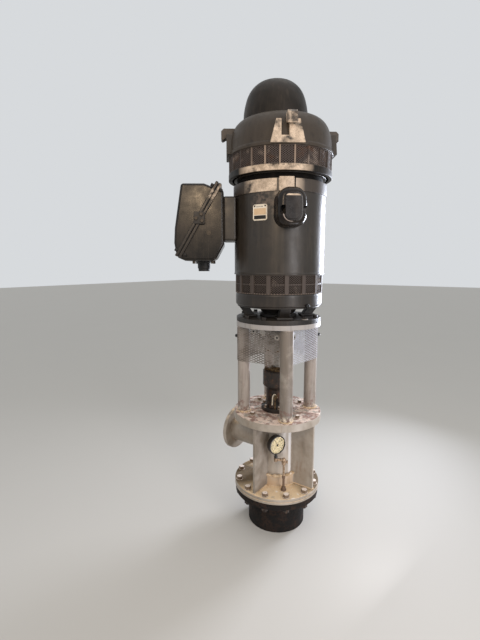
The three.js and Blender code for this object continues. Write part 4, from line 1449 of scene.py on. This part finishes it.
def boxPlugs():
    # a blanking plug on each side wall and the bolts under the box
    look, shapes = boxParts, []
    reach, height = look.plug
    for hand in (-1, 1):
        plug = together([ring(look.plugRadius, 5, 0, 3, 0.8, 28), disc(look.plugHead, -2, 5, 1, 6)])
        turn = carried(reach, hand * look.width / 2, height) @ turned(-90 * hand, "X")
        shapes.append(moved(plug, turn))
        for under in look.under:
            turn = carried(under, hand * look.underSide, look.foot)
            shapes.append(moved(spun(boltHead(*boltParts.small), 180, "X"), turn))
    return together(shapes)


hubParts = Values(reach=448, radius=37, rim=33, bore=24, depth=45, rimHeight=14)


def buildHub():
    look, cad = hubParts, measured("conduit_hub")
    bottom, top = cad.bottom, boxParts.foot + 1
    side = [(look.bore, bottom), (look.rim, bottom), (look.rim, bottom + look.rimHeight),
            (look.radius, bottom + look.rimHeight + 4), (look.radius, top - 12), (look.radius + 6, top - 9),
            (look.radius + 6, top), (0, top), (0, bottom + look.depth), (look.bore, bottom + look.depth)]
    shape = lathe(softened(side, 1.5) + [(look.bore, bottom)], 48)
    makePiece("hub_body", spun(shifted(shape, look.reach), boxParts.turn), coats.hub,
              ["conduit_hub"])


# Bearing cover and nameplate on the barrel

coverParts = Values(angle=-47.5, width=164, bottom=1817, top=2025, corner=66, face=351, round=38,
                    root=240, taper=4, narrowFrom=1935, narrow=0.11,
                    panel=Values(width=80, bottom=1859, top=1981, corner=18, proud=4),
                    ridge=Values(width=100, bottom=1846, top=1960, corner=42, reach=349.2, size=3.6,
                                 ends=1886),
                    pocket=Values(radius=15, sides=(-50, 66), height=1892, top=1926, floor=300))


def roundedRect(width, low, high, corner, inset=0.0, steps=10, between=1):
    # anticlockwise outline with rounded corners; between is how many pieces each straight side is made of
    half = width / 2 - inset
    corner = max(corner - inset, 4)
    centres = [(half - corner, low + inset + corner, -90), (half - corner, high - inset - corner, 0),
               (corner - half, high - inset - corner, 90), (corner - half, low + inset + corner, 180)]
    outline = []
    for x, y, first in centres:
        arc = [(x + polar(corner, first + 90 * k / steps)[0], y + polar(corner, first + 90 * k / steps)[1])
               for k in range(steps + 1)]
        if outline:
            outline += straight(outline[-1], arc[0], between)
        outline += arc
    return outline + straight(outline[-1], outline[0], between)


def straight(start, end, pieces):
    # the points between two ends, without the ends
    return [(start[0] + (end[0] - start[0]) * i / pieces, start[1] + (end[1] - start[1]) * i / pieces)
            for i in range(1, pieces)]


def buildCover():
    # a rounded casting, narrower at its top, with a raised flat panel and a pocket for a bolt at each side
    look = coverParts
    soft = look.round
    levels = [(0.0, look.root), (look.taper, look.face - soft)]
    for k in range(1, 11):
        angle = math.radians(90 * k / 10)
        levels.append((look.taper + (soft - look.taper) * (1 - math.cos(angle)),
                       look.face - soft * (1 - math.sin(angle))))

    def narrowed(y, z):
        share = max(0.0, (z - look.narrowFrom) / (look.top - look.narrowFrom))
        return y * (1 - look.narrow * share ** 1.5)

    size = (look.width, look.bottom, look.top, look.corner)
    body = stacked([[(reach, narrowed(y, z), z) for y, z in roundedRect(*size, inset, 10, 6)]
                    for inset, reach in levels])
    pocket = look.pocket
    pockets, bolts = [], []
    outward = turned(90, "Y")
    for side in pocket.sides:
        size = pocket.radius
        scoop = prism(roundedRect(2 * size, pocket.height - size, pocket.top, size - 1, 0, 8), 0, 80)
        pockets.append(([(pocket.floor + z, side + x, y) for x, y, z in scoop[0]], scoop[1]))
        bolts.append(shifted(moved(boltHead(*boltParts.small), outward), pocket.floor, side, pocket.height))
    makePiece("cover_casting", spun(body, look.angle), coats.cover, ["bearing_cover"],
              cut=spun(together(pockets), look.angle))
    makePiece("cover_bolts", spun(together(bolts), look.angle), coats.darkBolts, sharp=30)
    panel, ridge = look.panel, look.ridge
    outline = roundedRect(panel.width, panel.bottom, panel.top, panel.corner, 0, 6)
    plate = stacked([[(reach, y, z) for y, z in outline]
                     for reach in (look.face - 8, look.face + panel.proud)])
    makePiece("cover_panel", spun(plate, look.angle), coats.panel, bevel=1.2)

    # a pale bead along the casting's front edge, from the left pocket down to the middle: a painted
    # highlight for the light on its lip
    outline = roundedRect(ridge.width, ridge.bottom, ridge.top, ridge.corner, 0, 12, 14)
    rim = [(ridge.reach, y, z) for y, z in reversed(outline) if y <= 0 and z < ridge.ends]
    taper = lambda i: ridge.size * (0.3 + 0.7 * i / len(rim))
    makePiece("cover_highlight_bead", spun(sweep(rim, taper, 10), look.angle), coats.edge)


plateParts = Values(angle=-82, width=84, bottom=1863, top=1947, thick=1.4, rim=1.5, rimIn=3.2, corner=12,
                    fieldSide=35, field=(1893, 1926), strip=(1870, 1889), screw=(31, 1938.5),
                    marks=(-17, -9, 0, 8, 15), mark=(5.2, 3.2), markHeight=1935,
                    screwHead=[(0, 0), (4.6, 0), (4.4, 1.2), (2.8, 2.4), (0, 2.8)])


def onBarrel(shape, radius, angle):
    # bends a flat shape, drawn as (along, height, out), round the barrel
    points = []
    for along, height, out in shape[0]:
        x, y = polar(radius + out, angle + math.degrees(along / radius))
        points.append((x, y, height))
    return points, shape[1]


def bentPlate(width, low, high, corner, bottom, top, step=2.5):
    # a thin plate for onBarrel, made of upright strips that follow its corners, so that it bends cleanly
    half = width / 2
    count = round(width / step)
    points = []
    for i in range(count + 1):
        along = (half - 0.2) * math.sin(math.pi * (i / count - 0.5))
        into = max(0.0, corner - (half - abs(along)))
        less = corner - math.sqrt(max(0.0, corner * corner - into * into))
        points += [(along, low + less, bottom), (along, high - less, bottom), (along, high - less, top),
                   (along, low + less, top)]
    return points, [face[::-1] for face in sidesOf(count + 1, 4) + endsOf(count + 1, 4)]


def buildNameplate():
    look, radius, thick = plateParts, padParts.barrel, plateParts.thick
    sheet = bentPlate(look.width, look.bottom, look.top, look.corner, -1, thick)
    route = roundedRect(look.width, look.bottom, look.top, look.corner, look.rimIn, 6, 12)
    path = [(x, y, thick) for x, y in route]
    frameBead = sweep(path, look.rim, 8, True)
    makePiece("nameplate_sheet", onBarrel(together([sheet, frameBead]), radius, look.angle), coats.plate,
              ["nameplate"], sharp=30)
    # a cream field and, below it, a dark strip across the plate in the dial's black
    for name, (low, high), finish in (("nameplate_field", look.field, coats.field),
                                      ("nameplate_strip", look.strip, coats.ink)):
        area = bentPlate(2 * look.fieldSide, low, high, 3, thick - 0.6, thick + 0.4)
        makePiece(name, onBarrel(area, radius, look.angle), finish, sharp=30)
    wide, tall = look.mark
    mark = brick((-wide / 2, -tall / 2, thick - 0.3), (wide / 2, tall / 2, thick + 0.3))
    marks = [shifted(mark, x, look.markHeight) for x in look.marks]
    makePiece("nameplate_marks", onBarrel(together(marks), radius, look.angle), coats.ink)
    side, height = look.screw
    screws = [shifted(lathe(look.screwHead, 18), x, height, thick) for x in (-side, side)]
    makePiece("nameplate_screws", onBarrel(together(screws), radius, look.angle), coats.darkBolts)


# Pressure gauge with its pipe and cock

gaugeParts = Values(angle=-44, reach=168, pipe=7, riser=92, footRing=17, footNut=(24, 16), union=10,
                    cockBottom=440, cockTop=480, cockRadius=14, cockNut=(22, 8), keyHeight=456, key=5,
                    keyLength=24, armTurn=-149, armLength=48, armHeight=468, arm=8, elbow=11, stem=8,
                    stemNut=(20, 12), height=566, faceTurn=-22, radius=57, depth=38, rim=6, marks=10,
                    first=225, sweep=270, digits=9.5, numberCircle=29, tick=(36, 44), pointer=118)


def buildGauge():
    look, foot = gaugeParts, measured("base_flange").top
    stand = turned(look.angle) @ carried(look.reach, 0, 0)
    joint = foot + look.riser
    lower = [disc(look.pipe, foot - 1, joint, 0.5, 32), ring(look.footRing, 6, foot, foot + 9, 2, 32),
             shifted(hexHead(*look.footNut), z=foot + 8), disc(look.union, joint - 14, joint, 1.5, 24)]
    makePiece("gauge_riser", moved(together(lower), stand), coats.pipeSteel,
              ["gauge_pipe"])
    upper = disc(look.pipe - 0.5, joint - 2, look.cockBottom + 1, 0.5, 32)
    makePiece("gauge_nipple", moved(upper, stand), coats.fitting)

    low, high, body = look.cockBottom, look.cockTop, look.cockRadius
    shell = lathe(softened([(0, low), (body - 5, low), (body - 5, low + 7), (body, low + 11),
                            (body, high - 10), (body - 4, high - 5), (body - 6, high), (0, high)], 1.5),
                  24)
    hexNut = shifted(hexHead(*look.cockNut), z=low)
    lie = turned(90, "Y")
    key = spun(shifted(moved(together([disc(look.key, 0, look.keyLength, 1, 20),
                                       disc(look.key + 3, 12, 15, 0.8, 20),
                                       brick((-9, -2.5, look.keyLength - 8), (9, 2.5, look.keyLength))]),
                             lie), z=look.keyHeight), look.armTurn + 180)
    arm = spun(shifted(moved(together([disc(look.arm, 0, look.armLength, 1, 24),
                                       disc(look.arm + 2, 14, 24, 1.5, 6)]), lie), z=look.armHeight),
               look.armTurn)
    x, y = polar(look.armLength, look.armTurn)
    top = look.armHeight + look.elbow
    elbow = shifted(disc(look.elbow, look.armHeight - look.elbow, top, 4, 32), x, y)
    # arm and key have their own angles about Z, so the cock is moved to the pipe and not turned with it
    pipeX, pipeY = polar(look.reach, look.angle)
    cock = shifted(together([shell, hexNut, key, arm, elbow]), pipeX, pipeY)
    makePiece("cock_body", cock, coats.fitting, ["gauge_cock"])

    radius, depth, rim = look.radius, look.depth, look.rim
    dialDepth = depth - rim
    side = [(0, 0), (radius - rim, 0), (radius - 1, rim), (radius - 1, depth - 9), (radius, depth - 8),
            (radius, depth - 1), (radius - rim, depth), (radius - rim, dialDepth), (0, dialDepth)]
    stand = carried(pipeX + x, pipeY + y, 0) @ turned(look.faceTurn)
    back = carried(-depth / 2, 0, look.height) @ lie
    case = moved(lathe(softened(side, 1.2), 96), back)
    stem = together([disc(look.stem, top - 1, look.height - radius + rim, 0.5, 28),
                     shifted(hexHead(*look.stemNut), z=top + 1)])
    makePiece("gauge_housing", moved(together([case, stem]), stand), coats.gaugeCase,
              ["pressure_gauge"])
    face = stand @ carried(depth / 2 - rim, 0, look.height) @ turned(90) @ turned(90, "X")
    # on the dial, X runs to the reader's right, Y up and Z out of it
    makePiece("gauge_dial", moved(disc(radius - rim - 0.4, -0.5, 0.8, 0.2, 64), face), coats.dial)
    marks = []
    near, far = look.tick
    for i in range(5 * look.marks + 1):
        angle = look.first - look.sweep * i / (5 * look.marks)
        long = i % 5 == 0
        tick = brick((near if long else near + 4, -0.8 if long else -0.4, 0.8),
                     (far, 0.8 if long else 0.4, 1.1))
        marks.append(spun(tick, angle))
    needle = prism([(-13, -1.7), (near + 2, -0.5), (near + 2, 0.5), (-13, 1.7)], 2.2, 3.0)
    marks.append(spun(together([needle, disc(5, 0.8, 4, 0.6, 24)]), look.pointer))
    makePiece("gauge_marks", moved(together(marks), face), coats.ink)
    makePiece("gauge_numbers", moved(together([dialNumber(i) for i in range(0, look.marks + 1, 2)]),
                                     face), coats.ink)
    makePiece("gauge_glass", moved(disc(radius - rim - 0.2, 3.6, 5.0, 0.4, 64), face), coats.glass)


def dialNumber(value):
    # a plain number on the dial, from Blender's own font
    look = gaugeParts
    curve = bpy.data.curves.new("digits", "FONT")
    curve.body = str(value)
    curve.size = look.digits
    curve.extrude = 0.15
    curve.align_x, curve.align_y = "CENTER", "CENTER"
    obj = bpy.data.objects.new("digits", curve)
    bpy.context.scene.collection.objects.link(obj)
    graph = bpy.context.evaluated_depsgraph_get()
    mesh = bpy.data.meshes.new_from_object(obj.evaluated_get(graph))
    x, y = polar(look.numberCircle, look.first - look.sweep * value / look.marks)
    points = [(vert.co.x + x, vert.co.y + y, vert.co.z + 0.95) for vert in mesh.vertices]
    faces = [list(face.vertices) for face in mesh.polygons]
    bpy.data.objects.remove(obj)
    return points, faces


for build in (buildCasing, buildBaseFlange, buildBody, buildRibs, buildMiddleFlange, buildColumns,
              buildStuffingBox, buildBleedCock, buildShaft, buildGuard, buildMotorBase, buildLowerMotor,
              buildBarrel, buildHood, buildLugs, buildTerminalBox, buildCover, buildNameplate,
              buildGauge):
    build()
    print(build.__name__, "done")


# Floor, light and camera

studio = Values(floor="#bfbbb4", sky="#e6e9ec", skyStrength=0.86, turn=36.6, floorSize=60)
view = Values(focalPx=390, longSidePx=640, sensor=36, pitch=8.03, roll=0.15, height=1.6279,
              right=0.23345, ahead=2.3665)
# place is right, ahead and up from the pump, in metres, as the camera sees it
lights = Values(
    windowRight=Values(size=(1.0, 1.7), power=62, colour="#eaf0ff", place=(2.3, 2.1, 1.6), aim=(0, 0, 1.6),
                       spread=95),
    softFront=Values(size=(0.9, 2.2), power=37, colour="#fbf6f6", place=(1.65, -2.75, 2.0),
                     aim=(0, 0, 0.8)),
    softLeft=Values(size=(1.0, 1.4), power=12, colour="#ffe6c8", place=(-0.75, -2.7, 2.9), aim=(0, 0, 1.8)),
    floorRight=Values(size=(0.4, 0.5), power=4, colour="#f2f4ff", place=(0.75, -0.8, 0.3),
                      aim=(0.4, -0.4, 0.8)),
    boxGlow=Values(size=(0.2, 0.24), power=7, colour="#ffdcb0", place=(-0.53, -2.72, 2.42),
                   aim=(-0.427, -0.16, 1.994)),
    ceiling=Values(size=(3.2, 3.2), power=15, colour="#ffffff", place=(0.4, -0.4, 4.6), aim=(0, 0, 0)),
)


def asSeen(right, ahead, up):
    # from the camera's right, ahead and up to the pump's own axes
    turn = math.radians(studio.turn)
    return Vector((right * math.cos(turn) - ahead * math.sin(turn),
                   right * math.sin(turn) + ahead * math.cos(turn), up))


def buildStudio():
    half = studio.floorSize / 2
    mesh = bpy.data.meshes.new("floor")
    mesh.from_pydata([(-half, -half, 0), (half, -half, 0), (half, half, 0), (-half, half, 0)], [],
                     [(0, 1, 2, 3)])
    floor = bpy.data.objects.new("floor", mesh)
    bpy.context.scene.collection.objects.link(floor)
    material, tree, shader, place = newMaterial("matFloorPaint")
    cloud = blotches(tree, place, 900, 0.4, 0.7)
    colour = coloured(tree, studio.floor, [(times(tree, cloud, 0.12), "#c6c2ba")])
    fill(tree, shader, {"Base Color": colour, "Roughness": 0.7})
    mesh.materials.append(material)

    world = bpy.data.worlds.new("paleRoom")
    bpy.context.scene.world = world
    world.use_nodes = True
    sky = world.node_tree.nodes["Background"]
    sky.inputs["Color"].default_value = linear(studio.sky)
    sky.inputs["Strength"].default_value = studio.skyStrength

    for name, light in lights.items():
        lamp = bpy.data.lights.new(name, "AREA")
        lamp.shape = "RECTANGLE"
        lamp.size, lamp.size_y = light.size
        lamp.energy = light.power
        lamp.spread = math.radians(light.get("spread", 180))
        lamp.color = linear(light.colour)[:3]
        obj = bpy.data.objects.new(name, lamp)
        bpy.context.scene.collection.objects.link(obj)
        obj.location = asSeen(*light.place)
        obj.rotation_euler = (asSeen(*light.aim) - obj.location).to_track_quat("-Z", "Y").to_euler()
        obj.visible_camera = False

    lens = bpy.data.cameras.new("photoCamera")
    lens.sensor_width = view.sensor
    lens.lens = view.focalPx * view.sensor / view.longSidePx
    camera = bpy.data.objects.new("photoCamera", lens)
    bpy.context.scene.collection.objects.link(camera)
    spot = asSeen(-view.right, -view.ahead, view.height)
    aim = turned(studio.turn) @ turned(90 - view.pitch, "X")
    camera.matrix_world = Matrix.Translation(spot) @ aim @ turned(-view.roll)
    bpy.context.scene.camera = camera
    bpy.context.scene.view_settings.view_transform = "Standard"


buildStudio()
print("floor, lights and camera set")
